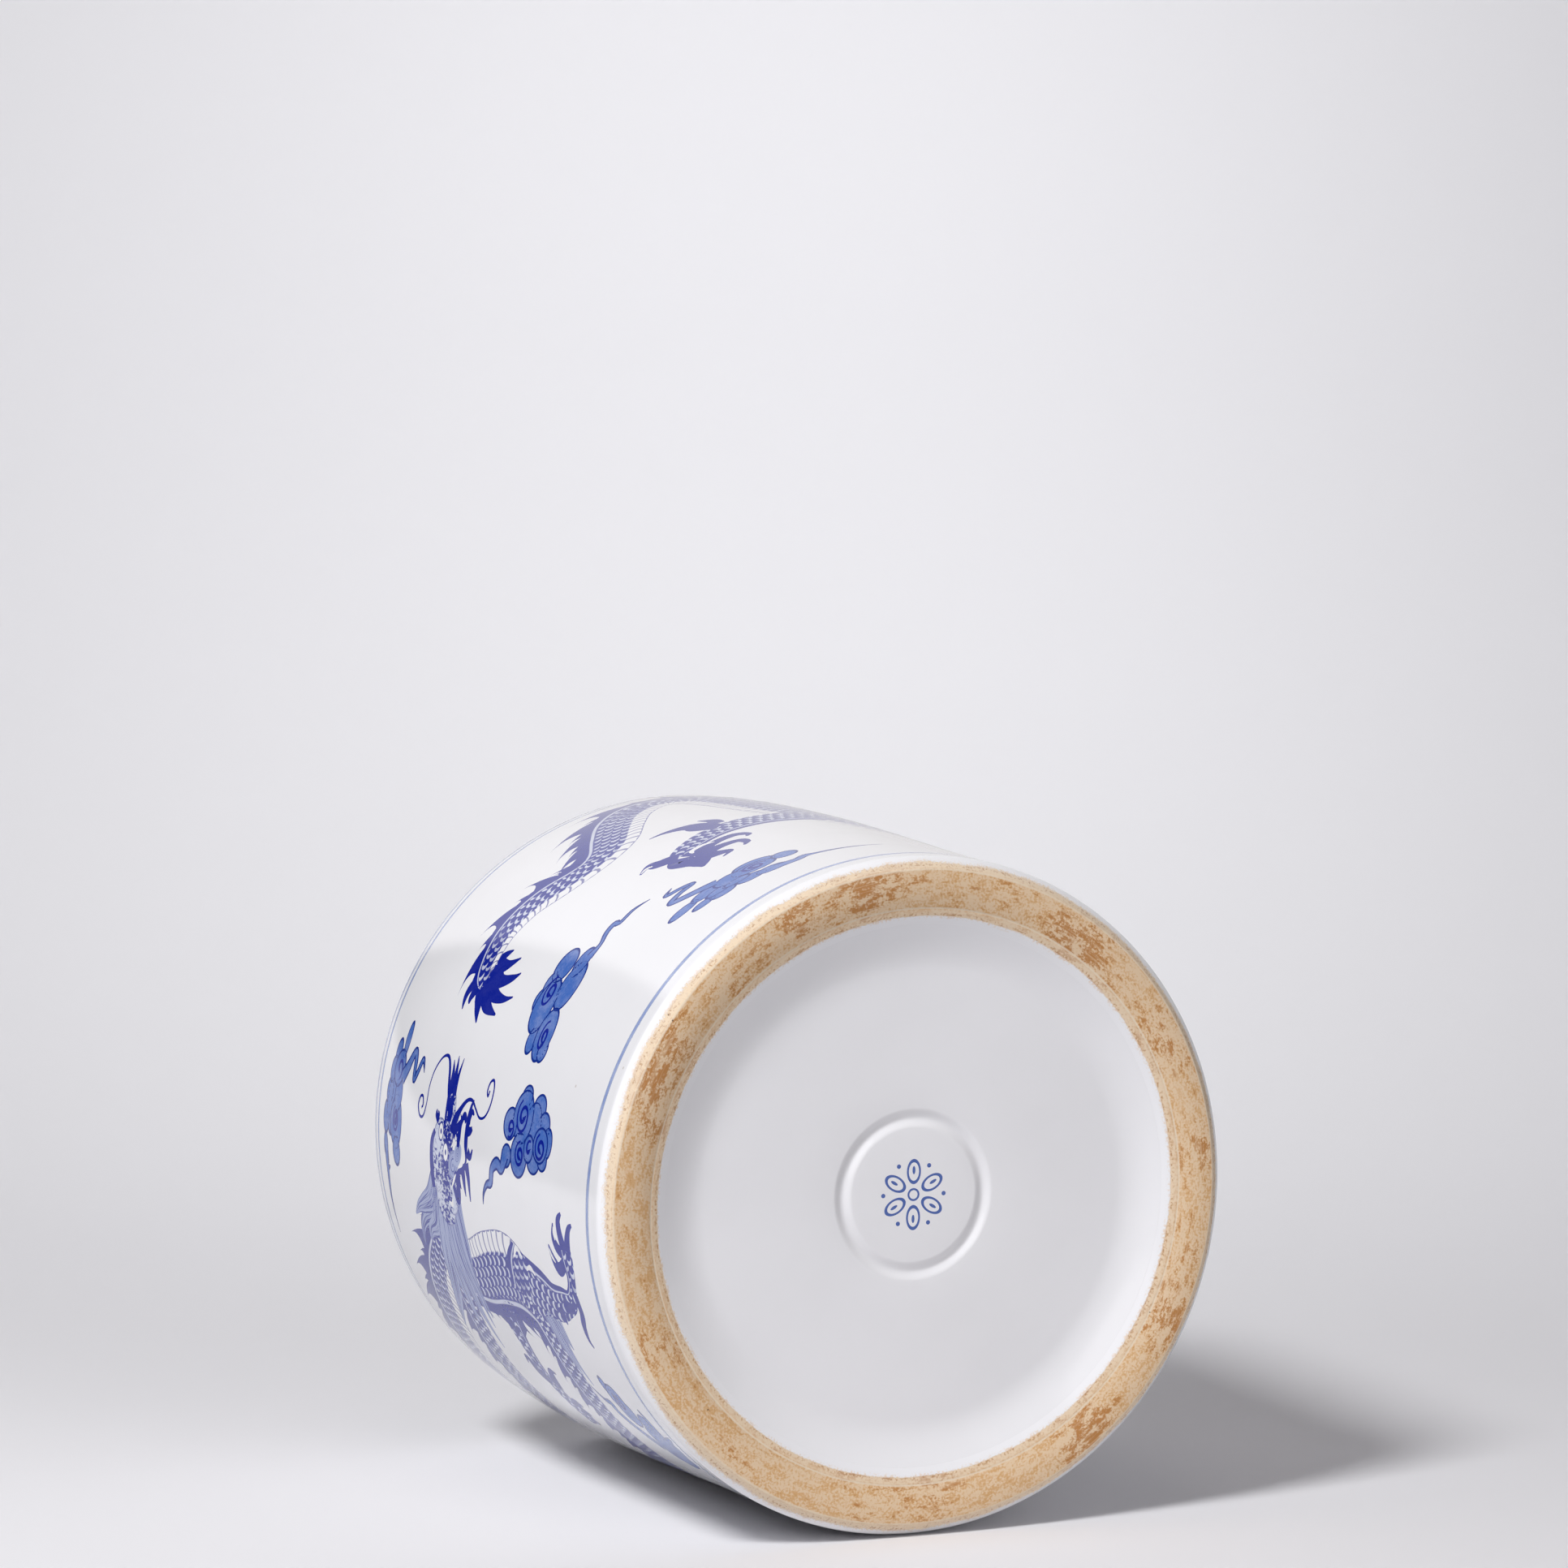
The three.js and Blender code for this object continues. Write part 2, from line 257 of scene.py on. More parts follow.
GLAZE_ROUGHNESS = 0.07
CLAY_ROUGHNESS = 0.9
CLAY_IOR = 1.45
GRAIN_SCALE = 1500.0
PINHOLE_TONE = (0.35, 0.27, 0.2)
RUBBED_TONE = (0.80, 0.69, 0.55)
PIT_TONE = (0.10, 0.05, 0.03)
BURNT_TONE = (0.42, 0.20, 0.07)
STAINED_TONE = (0.74, 0.46, 0.20)
GLAZE_EDGE_DROP = 1.5 * MM
GLAZE_EDGE_INSET = 0.5 * MM
PRINTS = {}


def lighter(tone, amount):
    return tuple(channel + (1 - channel) * amount for channel in tone)


def darker(tone, amount):
    return tuple(channel * (1 - amount) for channel in tone)


def glazed(name):
    """A glossy shader with the faint swell of a turned, dipped surface, and the place on it."""
    shader = Shader(name, GLAZE_ROUGHNESS)
    place = shader.place()
    swell = shader.noise(place, 28.0)
    rings = shader.noise(shader.stretched(place, (4.0, 4.0, 90.0)), 1.0)
    shader.bump(swell * 0.6 + rings * 0.4, 0.12 * MM, 0.5)
    return shader, place


def white_porcelain(colours):
    """Glossy, very slightly blue white glaze with the odd pinhole speck."""
    shader, place = glazed("white_porcelain")
    cloudy = shader.smooth(shader.noise(place, 16.0, 3.0), 0.35, 0.7)
    tone = shader.blend(cloudy, colours.glaze, darker(colours.glaze, 0.035))
    speck = shader.node("ShaderNodeTexVoronoi", None, vector=place, scale=85.0)
    spot = (speck < 0.035) * (shader.noise(place, 31.0) > 0.6)
    return shader.coloured(shader.blend(spot * 0.45, tone, PINHOLE_TONE))


def bare_clay(colours, sizes):
    """Unglazed foot: mottled iron-flecked clay, turning marks, and a ragged edge of glaze."""
    shader = Shader("foot_clay", CLAY_ROUGHNESS, CLAY_IOR)
    place = shader.place()
    x, y, height = shader.split(place)
    radius = (x * x + y * y).math("SQRT")
    face_outer = sizes.foot_face_radius
    face_inner = face_outer - sizes.foot_face_width
    lines = shader.noise(shader.vector(x * 45.0, y * 45.0, radius * 1400.0), 1.0, 2.0, 0.6)
    coarse = shader.noise(shader.vector(x * 215.0, y * 215.0, radius * 420.0), 1.0, 6.0, 0.78)
    broad = shader.noise(place, 34.0, 3.0)
    grain = shader.noise(place, GRAIN_SCALE)
    # Pale clay, darker mottling, iron spots, and pale rings where the tool has run.
    mottle = shader.smooth(coarse * 0.62 + grain * 0.38, 0.45, 0.57)
    tone = shader.blend(mottle, colours.clay_pale, colours.clay)
    iron = shader.smooth(coarse * 0.8 + broad * 0.6 + grain * 0.16, 0.82, 0.91)
    tone = shader.blend(iron * 0.8, tone, colours.iron)
    tone = shader.blend(shader.smooth(lines, 0.50, 0.68) * 0.42, tone, colours.clay_pale)
    # Edges rubbed pale: the scored line, the outer arris, the chamfer above it and the bevel.
    score = shader.near(radius, face_inner, 0.12 * MM, 0.40 * MM)
    arris = shader.near(radius, face_outer, 0.15 * MM, 0.5 * MM)
    chamfer = shader.smooth(radius, face_outer, face_outer + 0.6 * MM)
    bevel = 1 - shader.smooth(radius, face_inner - 0.7 * MM, face_inner)
    worn = shader.smooth(coarse * 0.6 + grain * 0.4, 0.36, 0.56)
    pale = (score * 0.75).math("MAXIMUM", arris * 0.7).math("MAXIMUM", chamfer * (worn * 0.4 + 0.4))
    tone = shader.blend(pale.math("MAXIMUM", bevel * 0.4), tone, RUBBED_TONE)
    pits = shader.node("ShaderNodeTexVoronoi", None, vector=place, scale=210.0)
    holes = (pits < 0.05) * (shader.noise(place, 53.0) > 0.62)
    tone = shader.blend(holes * 0.8, tone, PIT_TONE)
    # The glaze stops in a ragged line with a burnt edge, outside and inside.
    ragged = (shader.noise(place, GRAIN_SCALE, 4.0, 0.75) - 0.5) * (3.4 * MM)
    wavy = (shader.noise(place, 60.0) - 0.5) * (1.4 * MM)
    outside = radius > face_outer
    reach_out = height - (FOOT_HEIGHT - GLAZE_EDGE_DROP) + ragged + wavy
    reach_in = (face_inner - sizes.foot_bevel_width + GLAZE_EDGE_INSET) - radius + ragged * 0.5 + wavy * 0.5
    reach = outside * reach_out + (1 - outside) * reach_in
    covered = shader.smooth(reach, -0.05 * MM, 0.12 * MM)
    specks = shader.smooth(grain * 0.6 + coarse * 0.4, 0.50, 0.60)
    burnt = shader.smooth(reach, -1.1 * MM, 0.0) * (1 - covered) * specks
    tone = shader.blend(burnt * 0.75, tone, BURNT_TONE)
    stained = specks * covered * (1 - shader.smooth(reach, 0.1 * MM, 1.3 * MM)) * 0.6
    glaze = shader.blend(stained, colours.glaze, STAINED_TONE)
    shader.paint("Roughness", CLAY_ROUGHNESS - covered * (CLAY_ROUGHNESS - GLAZE_ROUGHNESS))
    relief = grain * 0.5 + coarse * 0.5 + lines * 0.6 - holes
    shader.bump(relief * (1 - covered) + covered * 1.2, 0.09 * MM, 0.8)
    return shader.coloured(shader.blend(covered, tone, glaze))


def cobalt_tone(shader, place, deep, lift):
    """Printed cobalt: blotchy, with the grain of the transfer, up to lift lighter than deep."""
    blotch = shader.noise(place, 190.0, 3.0, 0.6)
    grain = shader.noise(place, GRAIN_SCALE, 2.0, 0.6)
    return shader.blend(shader.smooth(blotch * 0.65 + grain * 0.35, 0.38, 0.68), deep, lighter(deep, lift))


def dense_cobalt(name, tone):
    """Cobalt laid on in one go: strokes, spines and claws, and the rosette."""
    shader, place = glazed(name)
    return shader.coloured(cobalt_tone(shader, place, tone, 0.012))


def scaled_cobalt(colours, pitch):
    """The dragon's hide: crescent scales, belly plates, a light line and a dark back."""
    shader, place = glazed("cobalt_scales")
    along = shader.attribute("along")
    across = shader.attribute("across")
    half = shader.attribute("half_width")
    plates = shader.attribute("plates")
    dark = cobalt_tone(shader, place, colours.cobalt, 0.015)
    light = lighter(colours.cobalt_wash, 0.60)
    wobble = (shader.noise(place, 240.0) - 0.5) * 0.25
    # Scales: rows along the body, every other one half a pitch on.
    row_pitch = pitch * 0.85
    rows = across * half / row_pitch
    row = rows.math("FLOOR")
    odd = (row * 0.5).math("FRACT") * 2
    u = (along / pitch + odd * 0.5 + wobble).math("FRACT") - 0.5
    v = (rows - row) - 0.5
    outer = (u * u + v * v * 0.85).math("SQRT")
    nearer = u - 0.28
    inner = (nearer * nearer + v * v * 0.5).math("SQRT")
    crescent = (1 - shader.smooth(outer, 0.40, 0.48)) * shader.smooth(inner, 0.33, 0.41)
    patchy = shader.smooth(shader.noise(place, 95.0, 2.0), 0.28, 0.5)
    top = 1 - shader.smooth(across, 0.46, 0.56)
    tone = shader.blend(crescent * top * (patchy * 0.5 + 0.5), dark, light)
    # Light line under the dark back.
    line = shader.near(across, 0.62, 0.035, 0.07)
    tone = shader.blend(line * 0.92, tone, light)
    # Belly plates, with dark curved joints and a scalloped edge.
    plate_pitch = pitch * 0.92
    bend = (across + 0.74) * 2.6
    plate = (along / plate_pitch + bend * bend * 0.35).math("FRACT")
    joint = shader.near(plate, 0.5, 0.06, 0.14)
    hump = (((along / plate_pitch).math("FRACT") - 0.5) * math.pi).math("COSINE")
    rim = (across + 0.98 + hump * 0.03).math("ABSOLUTE") * half
    edge = 1 - shader.smooth(rim, 0.2 * MM, 0.5 * MM)
    inside = 1 - shader.smooth(across, -0.56, -0.50)
    belly = shader.blend((joint * 0.75).math("MAXIMUM", edge * 0.8), colours.glaze, colours.cobalt)
    return shader.coloured(shader.blend(inside * shader.smooth(plates, 0.25, 0.6), tone, belly))


def hairy_cobalt(colours):
    """Combed locks: fine light lines that run along each stroke."""
    shader, place = glazed("cobalt_hair")
    across = shader.attribute("across")
    along = shader.attribute("along")
    start = shader.attribute("start")
    strands = shader.noise(shader.vector(across * 5.5, along * 26.0, start * 9.0), 1.0, 2.0, 0.6)
    dark = cobalt_tone(shader, place, colours.cobalt, 0.012)
    light = lighter(colours.cobalt_wash, 0.35)
    return shader.coloured(shader.blend(shader.smooth(strands, 0.40, 0.52) * 0.9, dark, light))


def mottled_cobalt(colours):
    """Stippled skin of the head: short dark touches on pale blue, inside a dark rim."""
    shader, place = glazed("cobalt_mottled")
    touches = shader.noise(shader.stretched(place, (1.0, 1.0, 0.75)), 900.0, 3.0, 0.6)
    broad = shader.noise(place, 130.0, 2.0)
    rim = shader.smooth(shader.attribute("across"), 0.86, 0.97)
    ink = shader.smooth(touches * 0.75 + broad * 0.45, 0.56, 0.66).math("MAXIMUM", rim * 0.6)
    return shader.coloured(shader.blend(ink, lighter(colours.cobalt_wash, 0.58), colours.cobalt))


def washed_cobalt(colours):
    """Clouds: pale wash with a darker outline just inside the edge."""
    shader, place = glazed("cloud_cobalt")
    across = shader.attribute("across").math("ABSOLUTE")
    size = (shader.attribute("half_width") * shader.attribute("half_height")).math("SQRT")
    depth = (1 - across) * size
    fill = cobalt_tone(shader, place, colours.cobalt_wash, 0.12)
    outline = 1 - shader.smooth(depth, 0.50 * MM, 0.85 * MM)
    return shader.coloured(shader.blend(outline * 0.96, fill, colours.cobalt_outline))


def eye_finish(colours):
    """White of the eye inside a dark lid, round a dark pupil."""
    shader, _ = glazed("cobalt_eye")
    across = shader.attribute("across")
    pupil = 1 - shader.smooth(across, 0.22, 0.34)
    lid = shader.smooth(across, 0.76, 0.86)
    return shader.coloured(shader.blend(pupil.math("MAXIMUM", lid), colours.glaze, colours.cobalt))


def brushed_line(name, colours, height, width, strength):
    """A band drawn with a loaded brush on the wheel: soft edges and an uneven tone."""
    shader, place = glazed(name)
    uneven = (shader.noise(place, 45.0, 3.0) - 0.5) * (0.25 * MM)
    off = (shader.split(place)[2] - height).math("ABSOLUTE") + uneven
    shader.paint("Alpha", (1 - shader.smooth(off, width * 0.30, width * 0.62)) * strength)
    tone = shader.smooth(shader.noise(place, 130.0, 3.0), 0.3, 0.7)
    return shader.coloured(shader.blend(tone, colours.cobalt_line, lighter(colours.cobalt_line, 0.15)))


def print_finishes(colours, looks):
    """Finishes of the prints, made once and shared by every print."""
    if not PRINTS:
        PRINTS.update(
            dense=dense_cobalt("cobalt_dense", colours.cobalt),
            brushed=dense_cobalt("cobalt_brushed", colours.cobalt_mark),
            scales=scaled_cobalt(colours, looks.scale_pitch),
            hair=hairy_cobalt(colours),
            mottled=mottled_cobalt(colours),
            wash=washed_cobalt(colours),
            eye=eye_finish(colours),
            white=bpy.data.materials["white_porcelain"],
        )
    return PRINTS


# ---------------------------------------------------------------------------------------
# Shapes


def wall_radius(sizes, height):
    """Outer radius of the wall: a straight flare with a bulge that sits high."""
    top = POT_HEIGHT - sizes.wall_thickness / 2
    t = (height - FOOT_HEIGHT) / (top - FOOT_HEIGHT)
    arch = 4 * t * (1 - t)
    flare = (sizes.wall_mouth_radius - sizes.wall_foot_radius) * t
    belly = sizes.wall_bulge * arch + sizes.wall_shoulder * arch * (2 * t - 1)
    return sizes.wall_foot_radius + flare + belly


def arc(centre, radius, start, end, steps):
    """Points [radius, height] on an arc, angles in degrees from outwards towards up."""
    points = []
    for i in range(steps + 1):
        angle = math.radians(start + (end - start) * i / steps)
        points.append((centre[0] + radius * math.cos(angle), centre[1] + radius * math.sin(angle)))
    return points


def add_object(name, data):
    made = bpy.data.objects.new(name, data)
    bpy.context.scene.collection.objects.link(made)
    return made


# ---------------------------------------------------------------------------------------
# Geometry trees

WALL_SIZES = {
    "wall_foot_radius": "Wall radius at foot",
    "wall_mouth_radius": "Wall radius at mouth",
    "wall_bulge": "Bulge",
    "wall_shoulder": "Shoulder",
    "wall_thickness": "Wall thickness",
}
ARC_RADIUS_LABEL = "Drawing radius"


class GivenSizes:
    """The wall's sizes, read from the inputs of a tree."""

    def __init__(self, tree):
        for key, label in WALL_SIZES.items():
            setattr(self, key, tree.take(label))


class Build(Tree):
    """A geometry tree with named inputs that ends in Realize Instances and Set Material."""

    def __init__(self, name, **inputs):
        self.group = bpy.data.node_groups.new(name, "GeometryNodeTree")
        add = self.group.interface.new_socket
        for label, kind in {"Shape": "Geometry", **inputs, "Finish": "Material"}.items():
            add(label.replace("_", " "), in_out="INPUT", socket_type="NodeSocket" + kind)
        add("Geometry", in_out="OUTPUT", socket_type="NodeSocketGeometry")
        super().__init__(self.group)
        self.given = self.node("NodeGroupInput")

    def take(self, label):
        return self.given.part(label)

    def named(self, name):
        return self.node("GeometryNodeInputNamedAttribute", {"data_type": "FLOAT"}, name)

    def store(self, geometry, name, value):
        settings = {"data_type": "FLOAT", "domain": "POINT"}
        return self.node("GeometryNodeStoreNamedAttribute", settings, geometry, True, name, value)

    def move(self, geometry, position):
        return self.node("GeometryNodeSetPosition", None, geometry, True, position)

    def polar(self, radius, angle, height):
        return self.vector(radius * angle.math("COSINE"), radius * angle.math("SINE"), height)

    def straight_curve(self, count, start, step):
        given = {"count": count, "start_location": start, "offset": step}
        line = self.node("GeometryNodeMeshLine", {"mode": "END_POINTS"}, **given)
        return self.node("GeometryNodeMeshToCurve", None, line)

    def drawn_line(self):
        """The lines of the drawing, as curves that lie flat."""
        line = self.node("GeometryNodeMeshToCurve", None, self.take("Shape"))
        return self.node("GeometryNodeSetCurveNormal", {"mode": "Z_UP"}, line)

    def merged(self, geometry, distance):
        return self.node("GeometryNodeMergeByDistance", None, geometry, True, distance)

    def close(self, geometry):
        smooth = self.node("GeometryNodeSetShadeSmooth", None, geometry, True, True)
        real = self.node("GeometryNodeRealizeInstances", None, smooth)
        done = self.node("GeometryNodeSetMaterial", None, real, True, self.take("Finish"))
        out = self.tree.nodes.new("NodeGroupOutput")
        self.feed(out.inputs[0], done)
        return self.group


class PrintBuild(Build):
    """A tree for flat drawings that end up on the wall: x goes round, y up and z off the glaze."""

    def __init__(self, name, **inputs):
        sizes = {label: "Float" for label in (*WALL_SIZES.values(), ARC_RADIUS_LABEL)}
        super().__init__(name, **sizes, **inputs)

    def close(self, geometry):
        """Turns over the faces that look down, then wraps the drawing round the wall."""
        up = self.split(self.node("GeometryNodeInputNormal"))[2]
        facing = self.node("GeometryNodeFlipFaces", None, geometry, up < 0.0)
        x, y, z = self.split(self.node("GeometryNodeInputPosition"))
        radius = wall_radius(GivenSizes(self), y) + z
        place = self.polar(radius, x / self.take(ARC_RADIUS_LABEL), y)
        return super().close(self.move(facing, place))


def turned_tree():
    """Spins profile lines, drawn as x = radius and z = height, round the pot's axis."""
    tree = Build("turned_surface", Steps_round="Int")
    profile = tree.node("GeometryNodeMeshToCurve", None, tree.take("Shape"))
    radius, _, height = tree.split(tree.node("GeometryNodeInputPosition"))
    profile = tree.store(tree.store(profile, "ring_radius", radius), "ring_height", height)
    path = tree.straight_curve(tree.take("Steps round") + 1, (0, 0, 0), (0, 1, 0))
    turn = tree.node("GeometryNodeSplineParameter")
    path = tree.store(path, "turn", turn * (2 * math.pi))
    sheet = tree.node("GeometryNodeCurveToMesh", None, path, profile)
    place = tree.polar(tree.named("ring_radius"), tree.named("turn"), tree.named("ring_height"))
    closed = tree.merged(tree.move(sheet, place), 0.002 * MM)
    # A profile drawn up the outside, or outwards along the bottom, has its faces outwards.
    return tree.close(tree.node("GeometryNodeFlipFaces", None, closed))


def ribbon_tree():
    """Draws each line as a flat ribbon of its own half width."""
    tree = PrintBuild("printed_ribbons", Steps_across="Int")
    along = tree.node("GeometryNodeSplineParameter").part("Length")
    line = tree.store(tree.drawn_line(), "along", along)
    nib = tree.straight_curve(tree.take("Steps across") + 1, (1, 0, 0), (-1, 0, 0))
    nib = tree.store(nib, "across", 0.0 - tree.split(tree.node("GeometryNodeInputPosition"))[0])
    return tree.close(tree.node("GeometryNodeCurveToMesh", None, line, nib, tree.named("half_width")))


def lobe_tree():
    """Stamps an oval on each point, of its own width, height and tilt."""
    tree = PrintBuild("printed_lobes", Steps_round="Int")
    grid = tree.node("GeometryNodeMeshGrid", None, 1.0, 1.0, 5, tree.take("Steps round") + 1)
    x, y, _ = tree.split(tree.node("GeometryNodeInputPosition"))
    reach = x + 0.5
    disc = tree.store(grid, "across", reach)
    disc = tree.merged(tree.move(disc, tree.polar(reach, (y + 0.5) * (2 * math.pi), 0.0)), 0.001)
    tilt = tree.node("FunctionNodeEulerToRotation", None, tree.vector(0.0, 0.0, tree.named("tilt")))
    size = tree.vector(tree.named("half_width"), tree.named("half_height"), 1.0)
    points = tree.node("GeometryNodeMeshToPoints", None, tree.take("Shape"))
    given = {"points": points, "instance": disc, "rotation": tilt, "scale": size}
    stamped = tree.node("GeometryNodeInstanceOnPoints", None, **given)
    return tree.close(tree.node("GeometryNodeRealizeInstances", None, stamped))


SPINE_SWEEP = 0.85
SPINE_STRETCH = 1.25
SPINE_ROOT = 0.12
SPINE_SEAT = 0.93
SMALL_SPINE = 0.6
LEAST_FIN = 0.3 * MM


def fin_tree():
    """Sets a row of swept-back spines along the left edge of each line, large and small by turns."""
    tree = PrintBuild("printed_fins", Pitch="Float")
    spine = tree.node("GeometryNodeMeshGrid", None, 1.0, 1.0, 5, 9)
    x, y, _ = tree.split(tree.node("GeometryNodeInputPosition"))
    tip = y + 0.5
    slim = (1 - tip).math("POWER", 1.5)
    rise = tip * (1.25 - tip * 0.25) - SPINE_ROOT
    spine = tree.move(spine, tree.vector(x * slim - tip * tip * SPINE_SWEEP, rise, 0.0))
    spine = tree.store(spine, "across", x * 2.0)
    spaced = {"curve": tree.drawn_line(), "length": tree.take("Pitch")}
    line = tree.node("GeometryNodeResampleCurve", {"mode": "LENGTH"}, **spaced)
    tangent = tree.node("GeometryNodeInputTangent")
    tx, ty, _ = tree.split(tangent)
    wide = tree.named("half_width") * SPINE_SEAT
    edge = tree.vector(ty * (0 - wide), tx * wide, 0.0)
    line = tree.node("GeometryNodeSetPosition", None, geometry=line, offset=edge)
    number = tree.node("GeometryNodeInputIndex")
    limits = {"min": 0.85, "max": 1.15, "id": number, "seed": 7}
    uneven = tree.node("FunctionNodeRandomValue", {"data_type": "FLOAT"}, **limits)
    size = tree.named("fin") * (1.12 - number.math("MODULO", 2.0) * SMALL_SPINE) * uneven
    axes = {"primary_axis": "X", "secondary_axis": "Z"}
    given = {
        "points": line,
        "selection": tree.named("fin") > LEAST_FIN,
        "instance": spine,
        "rotation": tree.node("FunctionNodeAxesToRotation", axes, tangent, (0, 0, 1)),
        "scale": tree.vector(size * SPINE_STRETCH, size, 1.0),
    }
    row = tree.node("GeometryNodeInstanceOnPoints", None, **given)
    real = tree.node("GeometryNodeRealizeInstances", None, row)
    return tree.close(tree.merged(real, 0.004 * MM))


TREE_MAKERS = {"turned": turned_tree, "ribbon": ribbon_tree, "lobe": lobe_tree, "fin": fin_tree}
TREES = {}


def geometry_tree(kind):
    """The tree of a kind, made the first time that it is asked for."""
    if kind not in TREES:
        TREES[kind] = TREE_MAKERS[kind]()
    return TREES[kind]


def run_tree(name, mesh, kind, finish, **inputs):
    """Runs a geometry tree on a mesh and returns the result as a plain mesh piece."""
    group = geometry_tree(kind)
    holder = add_object(name + "_drawing", mesh)
    modifier = holder.modifiers.new("build", "NODES")
    modifier.node_group = group
    given = {"Finish": finish, **{key.replace("_", " "): value for key, value in inputs.items()}}
    for item in group.interface.items_tree:
        if item.in_out == "INPUT" and item.name in given:
            modifier[item.identifier] = given[item.name]
    graph = bpy.context.evaluated_depsgraph_get()
    made = bpy.data.meshes.new_from_object(holder.evaluated_get(graph))
    bpy.data.objects.remove(holder)
    bpy.data.meshes.remove(mesh)
    if not made.polygons:
        raise RuntimeError(f"{name} came out empty")
    made.name = name
    return add_object(name, made)


def line_mesh(lines, attributes=()):
    """One mesh of open or closed polylines. A point is (x, y, z, {attribute: value})."""
    points, edges = [], []
    values = {name: [] for name in attributes}
    for line, closed in lines:
        start = len(points)
        for x, y, z, extra in line:
            points.append((x, y, z))
            for name in attributes:
                values[name].append(extra.get(name, 0.0))
        edges += [(i, i + 1) for i in range(start, len(points) - 1)]
        if closed:
            edges.append((len(points) - 1, start))
    mesh = bpy.data.meshes.new("drawing")
    mesh.from_pydata(points, edges, [])
    for name, column in values.items():
        mesh.attributes.new(name, "FLOAT", "POINT").data.foreach_set("value", column)
    return mesh


def put(piece, slot, *nodes):
    """A finished piece rides on the pot and stands for CAD nodes; its slot only tells whether it is a
    print.
    """
    if slot.startswith("cobalt"):
        # A print has no thickness of its own, so it casts and mirrors nothing on the glaze.
        piece.visible_shadow = piece.visible_glossy = piece.visible_diffuse = False
    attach(piece, "root")
    if nodes:
        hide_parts(*nodes)


# ---------------------------------------------------------------------------------------
# The clay body

SEAM_HEIGHT = 5 * MM
FLOOR_FILLET = 6 * MM
SEAM_COVE_INSET = 1.8 * MM
SEAM_CREASE = 0.03 * MM
LIP_STEPS = 16
WALL_ROWS = 60
GROOVE_STEPS = 16
COVE_STEPS = 14
SCORE_DEPTH = 0.3 * MM


def cove_points(sizes, first, last, steps):
    """The cove under the base, from its flat edge, 0, to the bevel of the foot ring, 1."""
    outer = sizes.foot_face_radius - sizes.foot_face_width - sizes.foot_bevel_width
    points = []
    for i in range(steps + 1):
        t = first + (last - first) * i / steps
        rise = (RECESS_DEPTH - sizes.foot_bevel_rise) * math.cos(t * math.pi / 2)
        points.append((outer - sizes.cove_width * (1 - t), sizes.foot_bevel_rise + rise))
    return points


def turned_piece(name, outline, finish, sizes, closed):
    line = [(radius, 0.0, height, {}) for radius, height in outline]
    mesh = line_mesh([(line, closed)])
    return run_tree(name, mesh, "turned", finish, Steps_round=sizes.steps_round)


def wall_outline(sizes):
    """Up the outside, over the lip, down the inside, round the floor's fillet and back."""
    half = sizes.wall_thickness / 2
    top = POT_HEIGHT - half
    heights = [SEAM_HEIGHT + (top - SEAM_HEIGHT) * i / WALL_ROWS for i in range(WALL_ROWS + 1)]
    heights.insert(1, SEAM_HEIGHT + SEAM_CREASE)
    outside = [(wall_radius(sizes, height), height) for height in heights]
    lip = arc((wall_radius(sizes, top) - half, top), half, 0, 180, LIP_STEPS)[1:-1]
    fillet_top = FLOOR_TOP + FLOOR_FILLET
    upper = [height for height in reversed(heights) if height > fillet_top]
    inside = [(wall_radius(sizes, height) - sizes.wall_thickness, height) for height in upper]
    inner = wall_radius(sizes, fillet_top) - sizes.wall_thickness
    fillet = arc((inner - FLOOR_FILLET, fillet_top), FLOOR_FILLET, 0, -90, 8)
    return [*outside, *lip, *inside, *fillet, (inner - FLOOR_FILLET, SEAM_HEIGHT)]


def base_outline(sizes):
    """From the middle of the underside out to the seam, up, and back over the inner floor."""
    inner = wall_radius(sizes, FLOOR_TOP + FLOOR_FILLET) - sizes.wall_thickness - FLOOR_FILLET
    seam = 1 - SEAM_COVE_INSET / sizes.cove_width
    cove = cove_points(sizes, 0.0, seam, COVE_STEPS)
    cove.insert(-1, cove_points(sizes, 0.0, seam - SEAM_CREASE / sizes.cove_width, 1)[-1])
    groove = []
    for i in range(GROOVE_STEPS + 1):
        t = i / GROOVE_STEPS
        dip = sizes.groove_depth * math.sin(math.pi * t) ** 2
        groove.append((sizes.roundel_radius + sizes.groove_width * t, RECESS_DEPTH + dip))
    start, end = groove[-1][0], cove[0][0]
    flat = [(start + (end - start) * t, RECESS_DEPTH) for t in (0.25, 0.5, 0.75)]
    roundel = [(0.0, RECESS_DEPTH), (sizes.roundel_radius / 2, RECESS_DEPTH)]
    top = [(inner, SEAM_HEIGHT), (inner, FLOOR_TOP), (inner / 2, FLOOR_TOP), (0.0, FLOOR_TOP)]
    return [*roundel, *groove, *flat, *cove, (cove[-1][0], SEAM_HEIGHT), *top]


